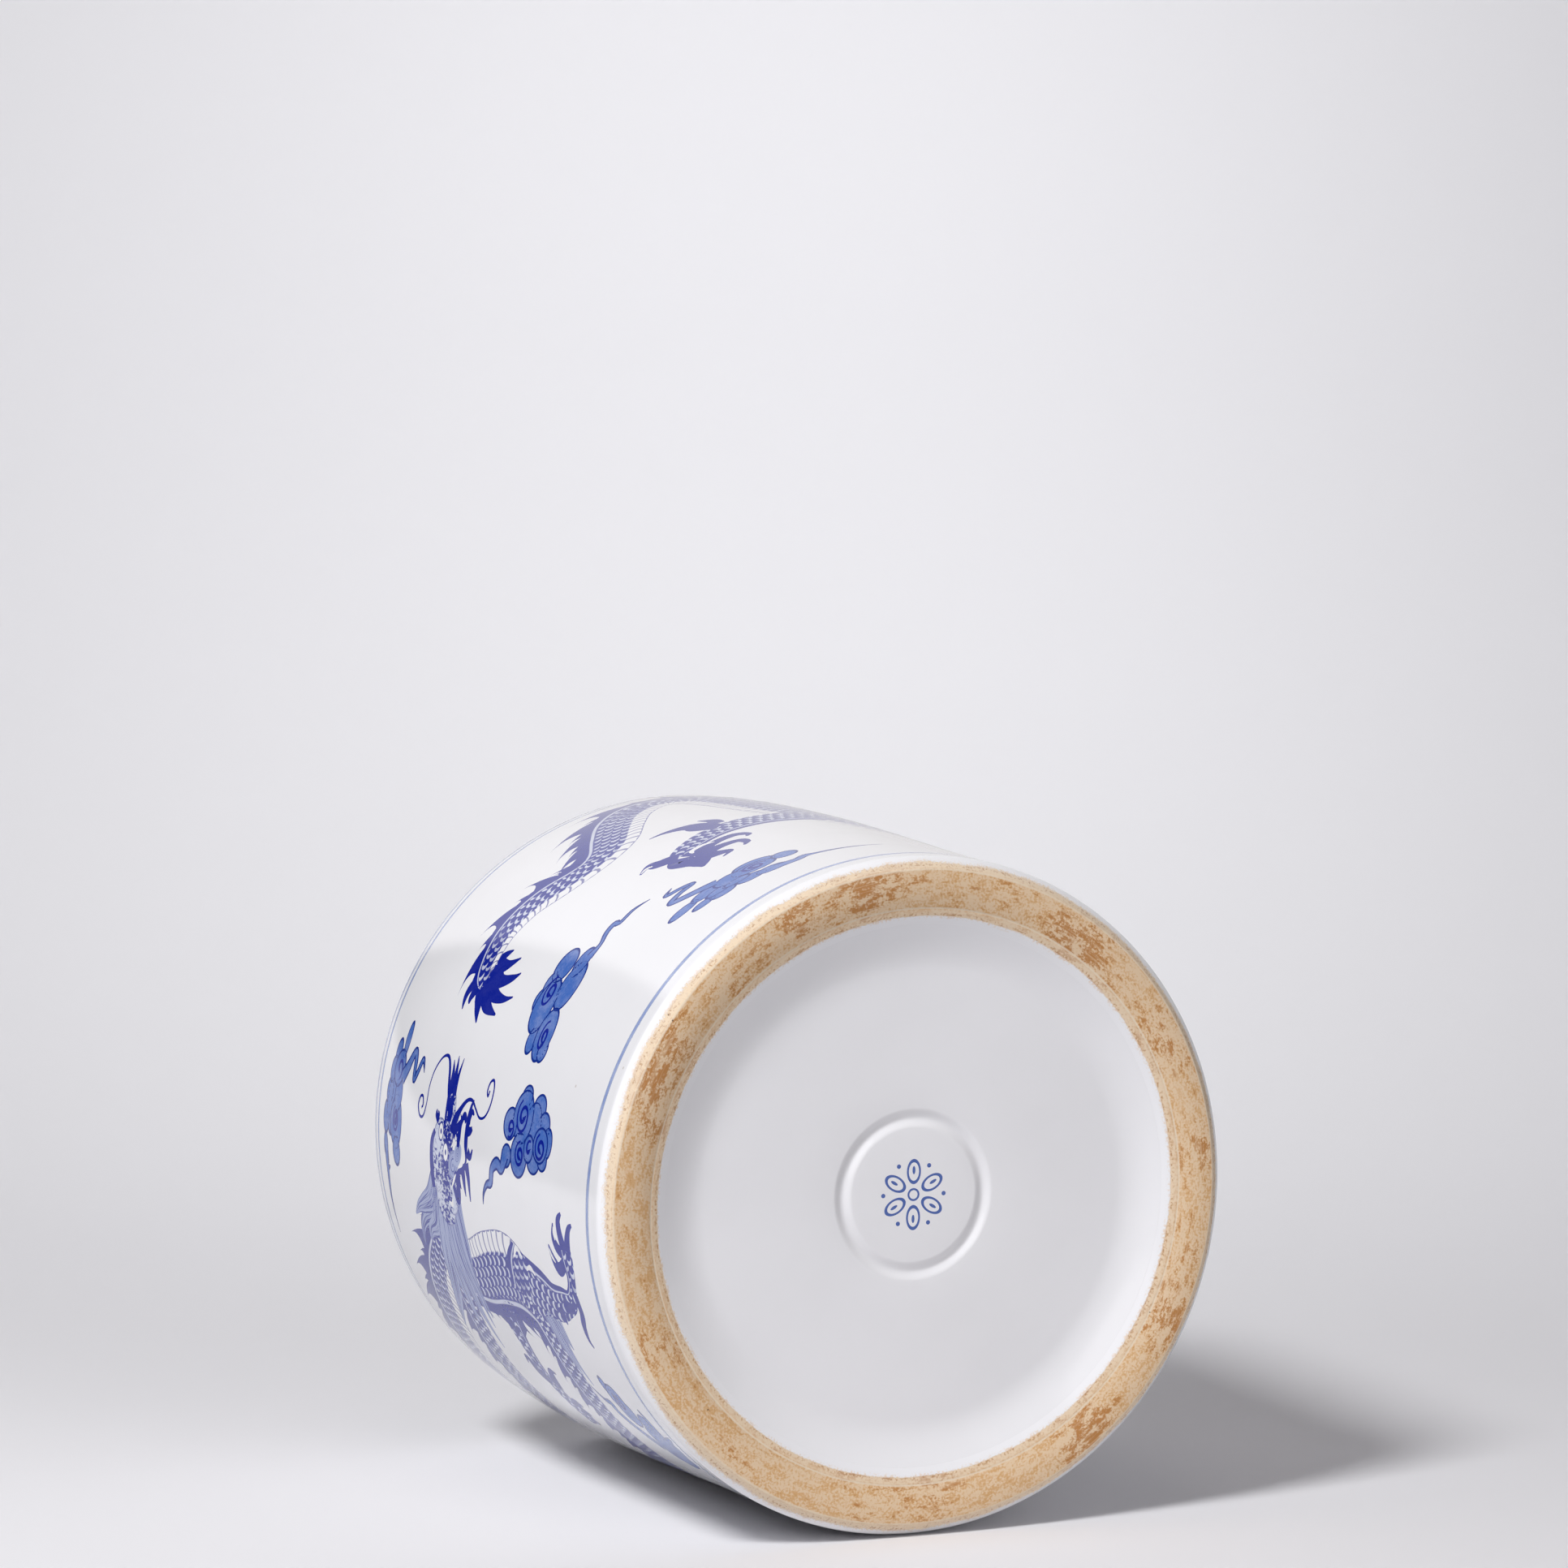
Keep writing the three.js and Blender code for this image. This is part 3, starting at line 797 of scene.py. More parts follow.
def foot_outline(sizes):
    """The section of the foot: from the seam under the base, over the cove, the bevel and the
    face with its scored line, and up the chamfer and the outside."""
    outer = sizes.foot_face_radius
    inner = outer - sizes.foot_face_width
    top = wall_radius(sizes, FOOT_HEIGHT)
    chamfer = [(top - (top - outer) * t, FOOT_HEIGHT * (1 - t)) for t in (0.12, 0.4, 0.7, 0.9, 0.97)]
    score = SCORE_DEPTH
    face = [(outer - 0.15 * MM, 0.03 * MM), (outer - 0.4 * MM, 0.0), (inner + 1.5 * score, 0.0)]
    face += [(inner + 0.5 * score, score), (inner - 0.5 * score, score)]
    bevel = [(inner - 1.5 * score, 0.35 * MM), (inner - sizes.foot_bevel_width, sizes.foot_bevel_rise)]
    seam = 1 - SEAM_COVE_INSET / sizes.cove_width
    cove = cove_points(sizes, seam, 1.0, 3)[::-1]
    cove.insert(-1, cove_points(sizes, seam + SEAM_CREASE / sizes.cove_width, 1.0, 1)[0])
    side_rows = (SEAM_HEIGHT, SEAM_HEIGHT - SEAM_CREASE, 4 * MM, 3.4 * MM)
    side = [(wall_radius(sizes, height), height) for height in side_rows]
    return [*side, *chamfer, *face, *bevel, *cove[1:], (cove[-1][0], SEAM_HEIGHT)][::-1]


# ---------------------------------------------------------------------------------------
# Prints. Places are [degrees round the pot, height in mm, half width in mm].


def drawing_radius(sizes):
    return (sizes.wall_foot_radius + sizes.wall_mouth_radius) / 2


def across_wall(sizes, degrees):
    return math.radians(degrees) * drawing_radius(sizes)


def spline_value(p, q, r, s, t):
    """A Catmull-Rom spline's value between q, where t is 0, and r, where t is 1."""
    return 0.5 * (
        2 * q
        + (r - p) * t
        + (2 * p - 5 * q + 4 * r - s) * t**2
        + (3 * q - p - 3 * r + s) * t**3
    )


def curve_through(stations, step):
    """A smooth curve through rows of numbers, x and y first, as rows about a step apart."""
    rows = [stations[0], *stations, stations[-1]]
    out = []
    for a, b, c, d in zip(rows, rows[1:], rows[2:], rows[3:]):
        steps = max(1, round(math.dist(b[:2], c[:2]) / step))
        for i in range(steps):
            out.append([spline_value(*values, i / steps) for values in zip(a, b, c, d)])
    out.append(list(stations[-1]))
    return out


RIBBON_VALUES = ("half_width", "half_height", "fin", "plates", "start")
LOBE_VALUES = ("half_width", "half_height", "tilt", "start")
LEAST_HALF_WIDTH = 0.04 * MM
LOWEST_FILM = 2.2
FINE_STEP = 0.7 * MM


def film_height(film, layer, share):
    """How far a print stands off the wall: its layer's films, and a little more along a stroke."""
    return film * (LOWEST_FILM + layer + 0.5 * share)


def ribbon_lines(sizes, film, ribbons, step):
    """Lines for a tree of prints. A ribbon is (layer, stations), and a station is a place, to
    which it may add the height of a fin and how plainly belly plates show."""
    lines = []
    for number, (layer, stations) in enumerate(ribbons):
        rows = []
        for degrees, height, half, *extra in stations:
            fin, plates = (*extra, 0.0, 0.0)[:2]
            rows.append((across_wall(sizes, degrees), height * MM, half * MM, fin * MM, plates))
        curve = curve_through(rows, step)
        points = []
        for i, (x, y, half, fin, plates) in enumerate(curve):
            half = max(half, LEAST_HALF_WIDTH)
            values = (half, half, fin, plates, number * 0.37)
            extra = dict(zip(RIBBON_VALUES, values))
            points.append((x, y, film_height(film, layer, i / len(curve)), extra))
        lines.append((points, False))
    return lines


def wall_inputs(sizes):
    given = {label: getattr(sizes, key) for key, label in WALL_SIZES.items()}
    return {**given, ARC_RADIUS_LABEL: drawing_radius(sizes)}


def ribbons_piece(name, ribbons, finish, sizes, film, steps_across=4, step=FINE_STEP):
    mesh = line_mesh(ribbon_lines(sizes, film, ribbons, step), RIBBON_VALUES)
    return run_tree(name, mesh, "ribbon", finish, Steps_across=steps_across, **wall_inputs(sizes))


def fins_piece(name, ribbons, finish, sizes, film, pitch):
    mesh = line_mesh(ribbon_lines(sizes, film, ribbons, FINE_STEP), RIBBON_VALUES)
    return run_tree(name, mesh, "fin", finish, Pitch=pitch, **wall_inputs(sizes))


def lobes_piece(name, lobes, finish, sizes, film):
    """Ovals, each (layer, [degrees, height, half width, half height, tilt in degrees])."""
    points = []
    for number, (layer, (degrees, height, wide, high, *tilt)) in enumerate(lobes):
        values = (wide * MM, high * MM, math.radians(sum(tilt)), number * 0.41)
        rise = film_height(film, layer, number / len(lobes))
        extra = dict(zip(LOBE_VALUES, values))
        points.append((across_wall(sizes, degrees), height * MM, rise, extra))
    mesh = line_mesh([([point], False) for point in points], LOBE_VALUES)
    return run_tree(name, mesh, "lobe", finish, Steps_round=36, **wall_inputs(sizes))


CURL_PEN = 0.62
CURL_END = 0.88
BLOB_START = 0.9
BLOB_SIZE = 0.7


def curl(sizes, degrees, height, wide, high, turns, start):
    """A spiral stroke that winds in to a blob, on an oval of the given half width and height."""
    stations = []
    steps = max(6, round(turns * 14))
    for i in range(steps + 1):
        t = i / steps
        angle = math.radians(start) + turns * 2 * math.pi * t
        reach = 1 - CURL_END * t
        across = wide * reach * math.cos(angle) * MM / across_wall(sizes, 1)
        blob = max(t - BLOB_START, 0.0) / (1 - BLOB_START) * BLOB_SIZE
        pen = CURL_PEN * (0.55 + 0.6 * t) + blob
        stations.append([degrees + across, height + high * reach * math.sin(angle), pen])
    return stations


def joined(name, pieces):
    """Several pieces joined into one, with their finishes kept."""
    chosen = {"selected_objects": pieces, "selected_editable_objects": pieces}
    with bpy.context.temp_override(active_object=pieces[0], object=pieces[0], **chosen):
        bpy.ops.object.join()
    pieces[0].name = name
    pieces[0].data.name = name
    return pieces[0]


def repeated(piece, name, turn):
    """A copy of a piece, turned round the pot's axis in its mesh."""
    mesh = piece.data.copy()
    mesh.transform(Matrix.Rotation(math.radians(turn), 4, "Z"))
    mesh.name = name
    return add_object(name, mesh)


def layered(layer, rows):
    """Rows of one layer, which is a number of films above the wall."""
    return [(layer, row) for row in rows]


# The dragon's body, drawn from tail to head, so that its back is on the left of the line.
# A station adds the height of the back fin and how plainly the belly plates show.
RISING_COIL = [
    [-158.5, 60, 7, 0, 0.2], [-160, 74, 8, 4, 0.4], [-158, 100, 8.5, 5, 0.6], [-157, 126, 9, 6.5, 0.8],
    [-149, 147, 9.5, 8, 1], [-138, 152.5, 9.8, 8.5, 1], [-129, 150.5, 10, 8.5, 1],
    [-121, 144, 10, 8.5, 1], [-114, 136, 9, 8, 1], [-109, 127, 8, 7, 1], [-104.5, 119, 6, 4, 1],
]
BACK_COIL = [
    [-158, 124, 7, 5, 0.5], [-148, 121.5, 7.5, 7, 0.5], [-140, 121, 7.6, 7.5, 0.4],
    [-130, 121, 7.6, 7.5, 0.4], [-122, 119, 7, 7, 0.3], [-114, 116.5, 6.5, 4, 0.2],
    [-106, 114, 6, 0, 0],
]
MAIN_BODY = [
    [-241.4, 113, 1.5, 4, 0], [-240.4, 114.5, 3.8, 6, 0.2], [-237.5, 118, 6, 7, 0.7],
    [-231, 121, 8, 7.5, 1], [-224, 118.5, 8.6, 7.5, 1], [-218, 112.5, 8.8, 7, 1],
    [-213, 111.2, 9, 7, 1], [-208.5, 116.5, 9.3, 7.5, 1], [-204.5, 129, 9.8, 9, 1],
    [-200, 142, 10.3, 9, 1], [-194, 151, 10.8, 8.5, 1], [-188, 151.5, 11, 7.5, 1],
    [-183, 144, 11, 7, 1], [-180.5, 128, 11, 6.5, 1], [-178.5, 110, 11, 6.5, 0.9],
    [-174.5, 93, 11, 6.5, 0.7], [-167.5, 77.5, 11, 6.5, 0.5], [-158, 66, 10.5, 6.5, 0.3],
    [-145, 58.8, 8, 7, 0.1], [-131, 56.4, 7, 7.5, 0], [-120, 55.6, 8, 6, 0], [-112.5, 57.5, 11, 5, 0],
    [-108.3, 68, 13.2, 5.5, 0.9], [-108.6, 82, 12.6, 6.5, 1], [-110.3, 95, 11.2, 6, 1],
    [-110.8, 108, 9.5, 0, 1],
]
NEAR_LEG = [
    [-108, 60, 9.5], [-108.3, 50, 7.4], [-109.3, 42, 6], [-108.7, 35, 4.7], [-107.6, 29, 3.2],
    [-104, 25.8, 2.6], [-100.5, 26, 3.9], [-98, 27, 3.6],
]
FAR_LEG = [
    [-113, 83, 6.2], [-118, 84, 5.4], [-123, 84.3, 3.6], [-129, 84.8, 3.2], [-135, 83.5, 4.2],
    [-141, 82, 4.4],
]
HIND_LEG = [
    [-174, 92, 9], [-184, 89, 7.2], [-191, 87.3, 6.4], [-197, 84.5, 5.4], [-202.5, 79.5, 4.6],
    [-205, 74.5, 4.6],
]
SHOULDER = [[-110, 66, 6], [-105.5, 63, 7.2], [-101.8, 60.5, 4.2]]

# Strokes in dense cobalt, each a row of stations
TAIL_FLAMES = [
    [[-239.5, 118, 2.6], [-243, 121, 1.7], [-246, 119.6, 0.3]],
    [[-241, 116, 2.6], [-243.6, 117, 1.6], [-244.8, 116.4, 0.3]],
    [[-240.5, 113, 3.6], [-244.5, 109.6, 2.0], [-247.4, 106, 0.3]],
    [[-240, 111, 4], [-244, 104, 2.2], [-245.1, 95.6, 0.3]],
    [[-239, 110, 4], [-241.8, 103, 2.3], [-242.2, 95.5, 1.2], [-241.3, 90, 0.3]],
    [[-238, 110, 3.8], [-239.5, 104, 2.4], [-238.4, 97, 1.4], [-237, 93.3, 0.3]],
    [[-237, 111, 3], [-236.6, 105, 1.9], [-234.5, 99.2, 0.3]],
    [[-236.5, 112.5, 2.4], [-235, 110, 1.7], [-233.6, 107, 0.3]],
    [[-237, 111.5, 3.4], [-241, 112, 4.5], [-242.8, 115, 3]],
]
CLAWS = [
    # near foreleg
    [[-101.5, 29, 1.8], [-102.6, 32.5, 2.0], [-101.2, 35.5, 1.5], [-98.8, 37.8, 0.3]],
    [[-99.5, 29.5, 1.7], [-98.6, 32.3, 1.6], [-97, 33.9, 1.1], [-94.8, 33.4, 0.3]],
    [[-98.5, 27.5, 2.0], [-96, 29.3, 1.7], [-94, 29.6, 1.4], [-92.7, 27.6, 0.5]],
    [[-99, 25, 2.2], [-96.8, 24.2, 1.7], [-94.9, 22.8, 1.2], [-94, 20.6, 0.5]],
    [[-106.5, 25.6, 1.6], [-109.5, 24.6, 1.5], [-112, 26.3, 1.4], [-114.5, 26.8, 0.9],
     [-116, 25.4, 0.4]],
    [[-110, 40, 2.4], [-112, 39.2, 1.4], [-113.1, 38.6, 0.3]],
    [[-109, 36, 2.6], [-109.3, 31, 1.6], [-108, 27.6, 0.6]],
    # far foreleg
    [[-130, 86, 2.4], [-128.5, 88.8, 2.0], [-126, 89.6, 1.5], [-125.3, 91, 0.9], [-127, 93, 0.3]],
    [[-131, 81.5, 2.6], [-128.6, 79, 1.9], [-126.8, 76.6, 1.2], [-127.1, 73.6, 0.4]],
    [[-136, 80.5, 3], [-134.4, 77.5, 1.8], [-135.2, 75, 0.6]],
    [[-138, 80, 2.6], [-137, 77.4, 1.6], [-137.6, 75.6, 0.5]],
    [[-118, 80, 3.2], [-117.8, 76.8, 1.6], [-117.9, 75, 0.4]],
    # hind leg
    [[-205.5, 75.5, 3.2], [-208.6, 78.8, 2.8], [-209.8, 81.5, 1.5], [-212.3, 79.2, 0.4]],
    [[-204.5, 71, 4.2], [-199, 74.2, 2.2], [-195, 75.2, 1.9], [-193.2, 72.2, 1.2], [-194, 69.8, 0.4]],
    [[-204, 68, 4.4], [-199.5, 68.5, 2.3], [-196.2, 67.6, 1.7], [-195.6, 64, 1.2], [-196.8, 61.2, 0.4]],
    [[-205, 69, 5], [-204.8, 64, 3.8], [-205.2, 60.5, 2.4], [-205.8, 57.4, 0.4]],
    [[-203.6, 65, 3.6], [-201.4, 62.6, 2.4], [-199.8, 60.4, 1.2], [-201.8, 57.8, 0.3]],
    [[-205.5, 73, 4.2], [-207, 70.5, 3.2], [-205.6, 66.5, 3.4]],
    [[-194, 90, 2.6], [-195.6, 96, 4.0], [-197, 100.5, 2.8], [-200.5, 103.6, 1.2],
     [-203.5, 104.2, 0.3]],
    [[-193, 95, 2.4], [-192.6, 99.5, 1.8], [-194.2, 104.4, 0.3]],
]
WISPY_TUFTS = [
    [[-112, 50, 3.6], [-116, 47.6, 2.6], [-121, 46.6, 1.4], [-126, 44.8, 0.3]],
    [[-111.5, 47, 3.4], [-115, 45, 2.0], [-118.5, 43.4, 0.3]],
    [[-113, 52, 3], [-119, 49.5, 1.9], [-124, 47.6, 0.3]],
]
# Locks of the mane, from the skull outwards.
MANE = [
    [[-96, 118, 3.2], [-101, 123, 3.2], [-103, 131, 2.6], [-105.2, 135.5, 1.6], [-108.5, 138, 0.3]],
    [[-94, 117, 3.5], [-98.5, 122.5, 3.8], [-100.4, 130, 2.8], [-101.4, 135, 1.7], [-103, 139.4, 0.3]],
    [[-97, 115, 4.4], [-103, 121, 3.6], [-104.8, 127.5, 2.2], [-106.8, 130.5, 0.3]],
    [[-98, 113, 4.6], [-106, 118, 4], [-113, 122.5, 2.8], [-119, 129, 1.2], [-120.4, 131, 0.3]],
    [[-98, 112, 4.8], [-107, 117, 4.4], [-115, 123.5, 3], [-121.5, 132, 1.2], [-124, 135.5, 0.3]],
    [[-98, 110, 5.4], [-108, 113.4, 4.8], [-116, 115.2, 2.6], [-121, 116.4, 0.3]],
    [[-98, 107.5, 5], [-108, 109, 4.2], [-117, 108.6, 2.2], [-125.5, 107.4, 0.3]],
    [[-97, 105, 4.2], [-107, 105.4, 3.6], [-115, 103.6, 1.6], [-120.8, 103.6, 0.3]],
    [[-96.5, 103, 3.6], [-105, 102.4, 2.8], [-112, 101.4, 1.4], [-118.6, 100.8, 0.3]],
    [[-95, 102, 3], [-100, 100.4, 2.2], [-105, 99.4, 1.6], [-108, 99.6, 0.3]],
]
HEAD_SHAPES = [
    [-97.5, 110, 8, 7.5, 0], [-92, 115.5, 8, 5, -6], [-88, 113.5, 6, 5, -10], [-88.5, 108, 8, 4.6, 0],
    [-96.5, 105.5, 6, 5, 10], [-82.5, 106.8, 6, 3.4, 10], [-78.5, 108.4, 4, 2.6, 12],
    [-92, 103, 5, 4, 0], [-85.5, 101.5, 3, 3, 0],
]
HEAD_STROKES = [
    # snout, nose spikes and brow
    [[-86, 110.4, 0.6], [-82, 110.2, 0.9], [-79, 109.8, 1.4], [-76.5, 110.4, 1.0], [-74.4, 111.9, 0.2]],
    [[-79.5, 107.8, 1.6], [-76.4, 108.2, 1.1], [-73.5, 109.2, 0.2]],
    [[-80, 106.4, 1.4], [-76.8, 106.2, 0.9], [-73.6, 105.2, 0.2]],
    [[-86, 105.4, 1.2], [-84, 103.2, 1.6], [-82.4, 101.2, 1.0], [-80, 97.2, 0.2]],
    [[-86.4, 103.8, 1.4], [-85.2, 101.4, 1.2], [-83.6, 98.6, 0.6], [-82.6, 99.4, 0.2]],
    [[-84.8, 116.2, 1.0], [-84, 117.4, 1.0], [-83.2, 117.2, 0.2]],
    [[-85.4, 116.4, 0.9], [-84, 115.6, 0.7], [-83.4, 116.4, 0.2]],
    [[-84.4, 107.6, 1.5], [-82.6, 107.4, 1.9], [-80.6, 108.6, 1.3]],
    [[-96.6, 119.2, 1.3], [-93, 119.8, 1.5], [-89, 119.8, 1.2], [-86.8, 117.6, 0.9]],
    # jaw, beard and teeth line
    [[-94.5, 102.4, 0.5], [-92.4, 99, 0.8], [-91.6, 95.4, 1.0], [-89.6, 93.6, 1.1], [-86, 93.8, 1.3],
     [-83, 93.2, 1.3], [-81.6, 91.4, 0.9], [-82, 89.8, 0.3]],
    [[-88.2, 99.4, 0.9], [-86.4, 99.2, 1.3], [-84, 98.4, 1.0], [-82.6, 96.4, 1.1], [-83.6, 94.8, 0.9]],
    [[-92.6, 98.6, 1.4], [-93.4, 98.6, 1.0], [-95, 97.2, 0.3]],
    [[-91.6, 95.6, 1.6], [-93.6, 94.8, 1.1], [-96, 94, 0.3]],
    [[-90.4, 93, 1.7], [-93, 91.4, 1.1], [-96.6, 90.8, 0.3]],
    [[-88.4, 92.4, 1.6], [-89, 90.2, 1.0], [-87.6, 88.7, 0.3]],
    [[-85, 93.6, 1.6], [-84.8, 91.4, 1.2], [-84.2, 90, 0.7]],
    [[-83.6, 93.4, 1.6], [-80.8, 92.6, 0.8], [-79.6, 91.4, 0.3]],
    [[-94, 104, 0.6], [-97, 100.4, 1.6], [-94.6, 99.4, 1.4], [-92.4, 101.4, 0.9]],
]
WHISKERS = [
    [[-82, 108.8, 1.1], [-79, 111.4, 0.9], [-76, 113.6, 0.75], [-74.2, 116.6, 0.55],
     [-74.6, 120.6, 0.4], [-77, 124.4, 0.35], [-80, 126.2, 0.32], [-83, 126.5, 0.34],
     [-85.2, 128.2, 0.42], [-85.4, 131, 0.42], [-83.8, 133, 0.45], [-82.2, 132, 0.42],
     [-82.1, 130, 0.42], [-83.4, 129.2, 0.42], [-84, 130.2, 0.4]],
    [[-84, 102.4, 1.1], [-81.6, 99.6, 0.9], [-80, 96, 0.6], [-79.8, 92.6, 0.5], [-81, 89.2, 0.4],
     [-82.1, 86, 0.4], [-81.6, 82.4, 0.4], [-79.6, 80, 0.4], [-77, 79.6, 0.42], [-75.4, 81, 0.45],
     [-75.8, 83, 0.42], [-77.3, 83.8, 0.42], [-78.2, 82.8, 0.42], [-77.2, 82.2, 0.4]],
]
WHITE_STROKES = [
    [[-95.4, 104.6, 0.2], [-94, 102.6, 0.55], [-92.8, 100.8, 0.15]],
    [[-88.6, 104.6, 0.2], [-87.4, 102.2, 0.55], [-86.2, 101.4, 0.15]],
    [[-90.4, 95.4, 0.4], [-89.8, 94.6, 0.8], [-88, 95.4, 0.7], [-86.6, 97.4, 0.4]],
    [[-98, 107.4, 0.25], [-98.4, 105.4, 0.7], [-97.2, 104.6, 0.2]],
    [[-103.6, 64.4, 0.3], [-101.8, 61.6, 0.8], [-103, 58.4, 0.3]],
    [[-105.2, 57.2, 0.3], [-104.4, 54, 0.7], [-105.6, 51.6, 0.3]],
    [[-101.6, 34.4, 0.25], [-100.6, 36.4, 0.5], [-99.4, 37.4, 0.15]],
    [[-97.6, 32.4, 0.25], [-96.6, 33.2, 0.4], [-95.4, 33.2, 0.15]],
    [[-209.6, 79.6, 0.3], [-210.6, 80.6, 0.6], [-212, 79.6, 0.2]],
    [[-203.5, 72.5, 0.3], [-203, 75, 0.9], [-200.6, 76, 0.9], [-198.8, 74.8, 0.3]],
]
TONGUE = [[-91.5, 103, 4.2, 3.4, -20], [-89.5, 99.6, 3.6, 2.6, -35]]
EYES = [[-89.8, 108.7, 2.9, 2.1, 0], [-86.6, 112.8, 2.7, 1.9, 4]]

# Clouds: ovals [degrees, height, half width, half height], wisps and curls.
CLOUDS = {
    "mouth": {
        "lobes": [
            [-93, 162.4, 4, 2.2], [-88, 162.2, 5, 3], [-83.5, 160.4, 4.4, 3.2],
            [-76.6, 158.4, 4.4, 2.8], [-79.6, 160, 4, 2.8], [-85.5, 157.6, 9, 4.4],
            [-93.2, 152, 4.4, 3.6], [-83.4, 152, 5, 3.6], [-88.2, 152.6, 7.6, 5.6],
            [-73.8, 152.8, 5.4, 2.2], [-79, 154.4, 5.4, 4.8],
        ],
        "wisps": [
            [[-96.5, 159.4, 0.3], [-96.6, 161.4, 1.3], [-93, 162.2, 2]],
            [[-109, 163.4, 0.25], [-103, 163.2, 0.7], [-98, 162.2, 1.2], [-94, 162.2, 1.6]],
            [[-80.4, 150.5, 2.6], [-78.2, 147, 2.1], [-75.4, 143.6, 1.5], [-77, 141.4, 1.5],
             [-80, 140.4, 1.2], [-78.6, 138.2, 1.2], [-76.2, 135.6, 1.1], [-78.3, 132.8, 0.2]],
        ],
        "curls": [[-87.8, 152.8, 3.8, 2.7, 1.9, 20], [-79, 154.4, 3.4, 2.8, 0.9, 200]],
    },
    "cluster": {
        "lobes": [
            [-86.6, 65.2, 3.4, 3.4], [-85.7, 47, 4, 4.6], [-77.4, 47.8, 4.4, 4.4],
            [-75.9, 57.2, 3.2, 3.6], [-80, 43, 4.4, 4.2], [-85.2, 41.2, 3.2, 3.4],
            [-82.3, 39.2, 4.4, 3.4], [-80.4, 50, 6.6, 5.4], [-81.2, 64.8, 4.6, 4.6],
            [-85.8, 56.9, 6.2, 5.7], [-79.4, 57.2, 7.4, 6.6], [-84.2, 50.8, 4, 3.4], [-83, 43.4, 5, 5],
        ],
        "wisps": [
            [[-86.4, 66, 2.6], [-89, 68.2, 1.8], [-88.4, 71.4, 1.9], [-89.6, 74.6, 1.6],
             [-92, 75.6, 1.5], [-92.6, 78.4, 1.1], [-94.2, 80.8, 0.7], [-96.2, 81.7, 0.25]],
        ],
        "curls": [
            [-81.8, 64.2, 2.8, 2.4, 1.3, 150], [-85.7, 56.4, 3.6, 3.2, 1.6, 0],
            [-79.4, 57.2, 5, 4.2, 1.7, 30], [-84.2, 50.6, 2.4, 2, 0.8, 330],
            [-83.4, 43.2, 3.9, 3.7, 1.5, 20],
        ],
    },
    "drifting": {
        "lobes": [
            [-60.2, 73.2, 3.8, 3], [-57, 72.6, 3.8, 2.8], [-67, 66.4, 4.2, 3], [-53.1, 70.6, 5.8, 4.8],
            [-51.6, 62.6, 5.2, 3.4], [-56.2, 60.6, 8, 5.2], [-60.8, 68.8, 8.6, 5.8],
            [-68, 57.2, 3.6, 3], [-65.4, 60, 8, 5.2],
        ],
        "wisps": [
            [[-50.4, 61, 2], [-47.6, 60.6, 1.1], [-45.2, 62.8, 1.3], [-43.2, 63, 1.5],
             [-42.6, 60.8, 1.1], [-39.5, 61, 0.9], [-36.4, 59, 0.2]],
        ],
        "curls": [[-58.4, 69.3, 5, 3.3, 1.6, 10], [-65.8, 59.9, 4.6, 2.6, 1.5, 0]],
    },
    "foot": {
        "lobes": [
            [-36.6, 36.4, 5.4, 2.4], [-31, 37, 6, 3.2], [-33.8, 31.4, 4, 2.1], [-30, 30.6, 4.4, 3],
            [-15.8, 38.2, 4, 3.4], [-21.2, 40, 6.6, 3.6], [-24.6, 30, 4.8, 3], [-20.6, 29.2, 5, 2.9],
            [-29.8, 33.2, 5, 2.2], [-26.6, 37, 5.4, 4], [-26.6, 32.6, 4.6, 2], [-21.9, 37.1, 6.8, 4.2],
        ],
        "wisps": [
            [[-28.4, 40, 2.2], [-32.6, 43, 1.8], [-35.8, 46.6, 1.5], [-33.6, 48.6, 1.3],
             [-30.4, 49.4, 1.2], [-32, 51.4, 1.2], [-34.8, 53.4, 1.1], [-32.8, 55.8, 0.2]],
            [[-20, 28.8, 2.4], [-16.4, 28.4, 1.7], [-14.2, 29.9, 1.6], [-12, 29.4, 0.9], [-6, 29, 0.6],
             [0, 29.4, 0.2]],
        ],
        "curls": [[-21.9, 37.1, 4.1, 3, 1.8, 10]],
    },
    "coiled": {
        "lobes": [
            [-138.6, 25.4, 5, 4.4], [-140.6, 19.6, 3.6, 6.2], [-137, 17.4, 5, 4],
            [-124.6, 35.6, 3.2, 2], [-127.2, 32.4, 5.2, 4.6], [-133, 22.4, 6, 4.6], [-136, 24.5, 6, 5],
            [-130, 31, 6, 4.8],
        ],
        "wisps": [
            [[-139, 30, 2.4], [-134.6, 37.2, 1.8], [-131.4, 41, 1.6], [-129.4, 41, 1.5],
             [-129, 44.4, 1], [-125.8, 49, 0.2]],
            [[-134, 19, 2.6], [-130.6, 18.8, 1.7], [-127.8, 20, 0.5]],
            [[-135, 16, 2], [-133.4, 11.8, 0.7]],
        ],
        "curls": [[-128, 32, 3.2, 2.6, 1.4, 20]],
    },
}

# How far apart the points of strokes lie, where they lie closer than FINE_STEP
STROKE_STEP = 0.4 * MM
CURL_STEP = 0.35 * MM
LIGHT_STEP = 0.3 * MM
# How far apart the dragon's spines stand
SPINE_PITCH = 5.6 * MM


def cloud_piece(name, cloud, sizes, looks, finishes):
    film = looks.film
    wash, dense = finishes["wash"], finishes["dense"]
    curls = [curl(sizes, *row) for row in cloud["curls"]]
    parts = [
        lobes_piece(name + "_lobes", layered(0, cloud["lobes"]), wash, sizes, film),
        ribbons_piece(name + "_wisps", layered(1.2, cloud["wisps"]), wash, sizes, film),
        ribbons_piece(name + "_curls", layered(2.4, curls), dense, sizes, film, 2, CURL_STEP),
    ]
    return joined(name, parts)


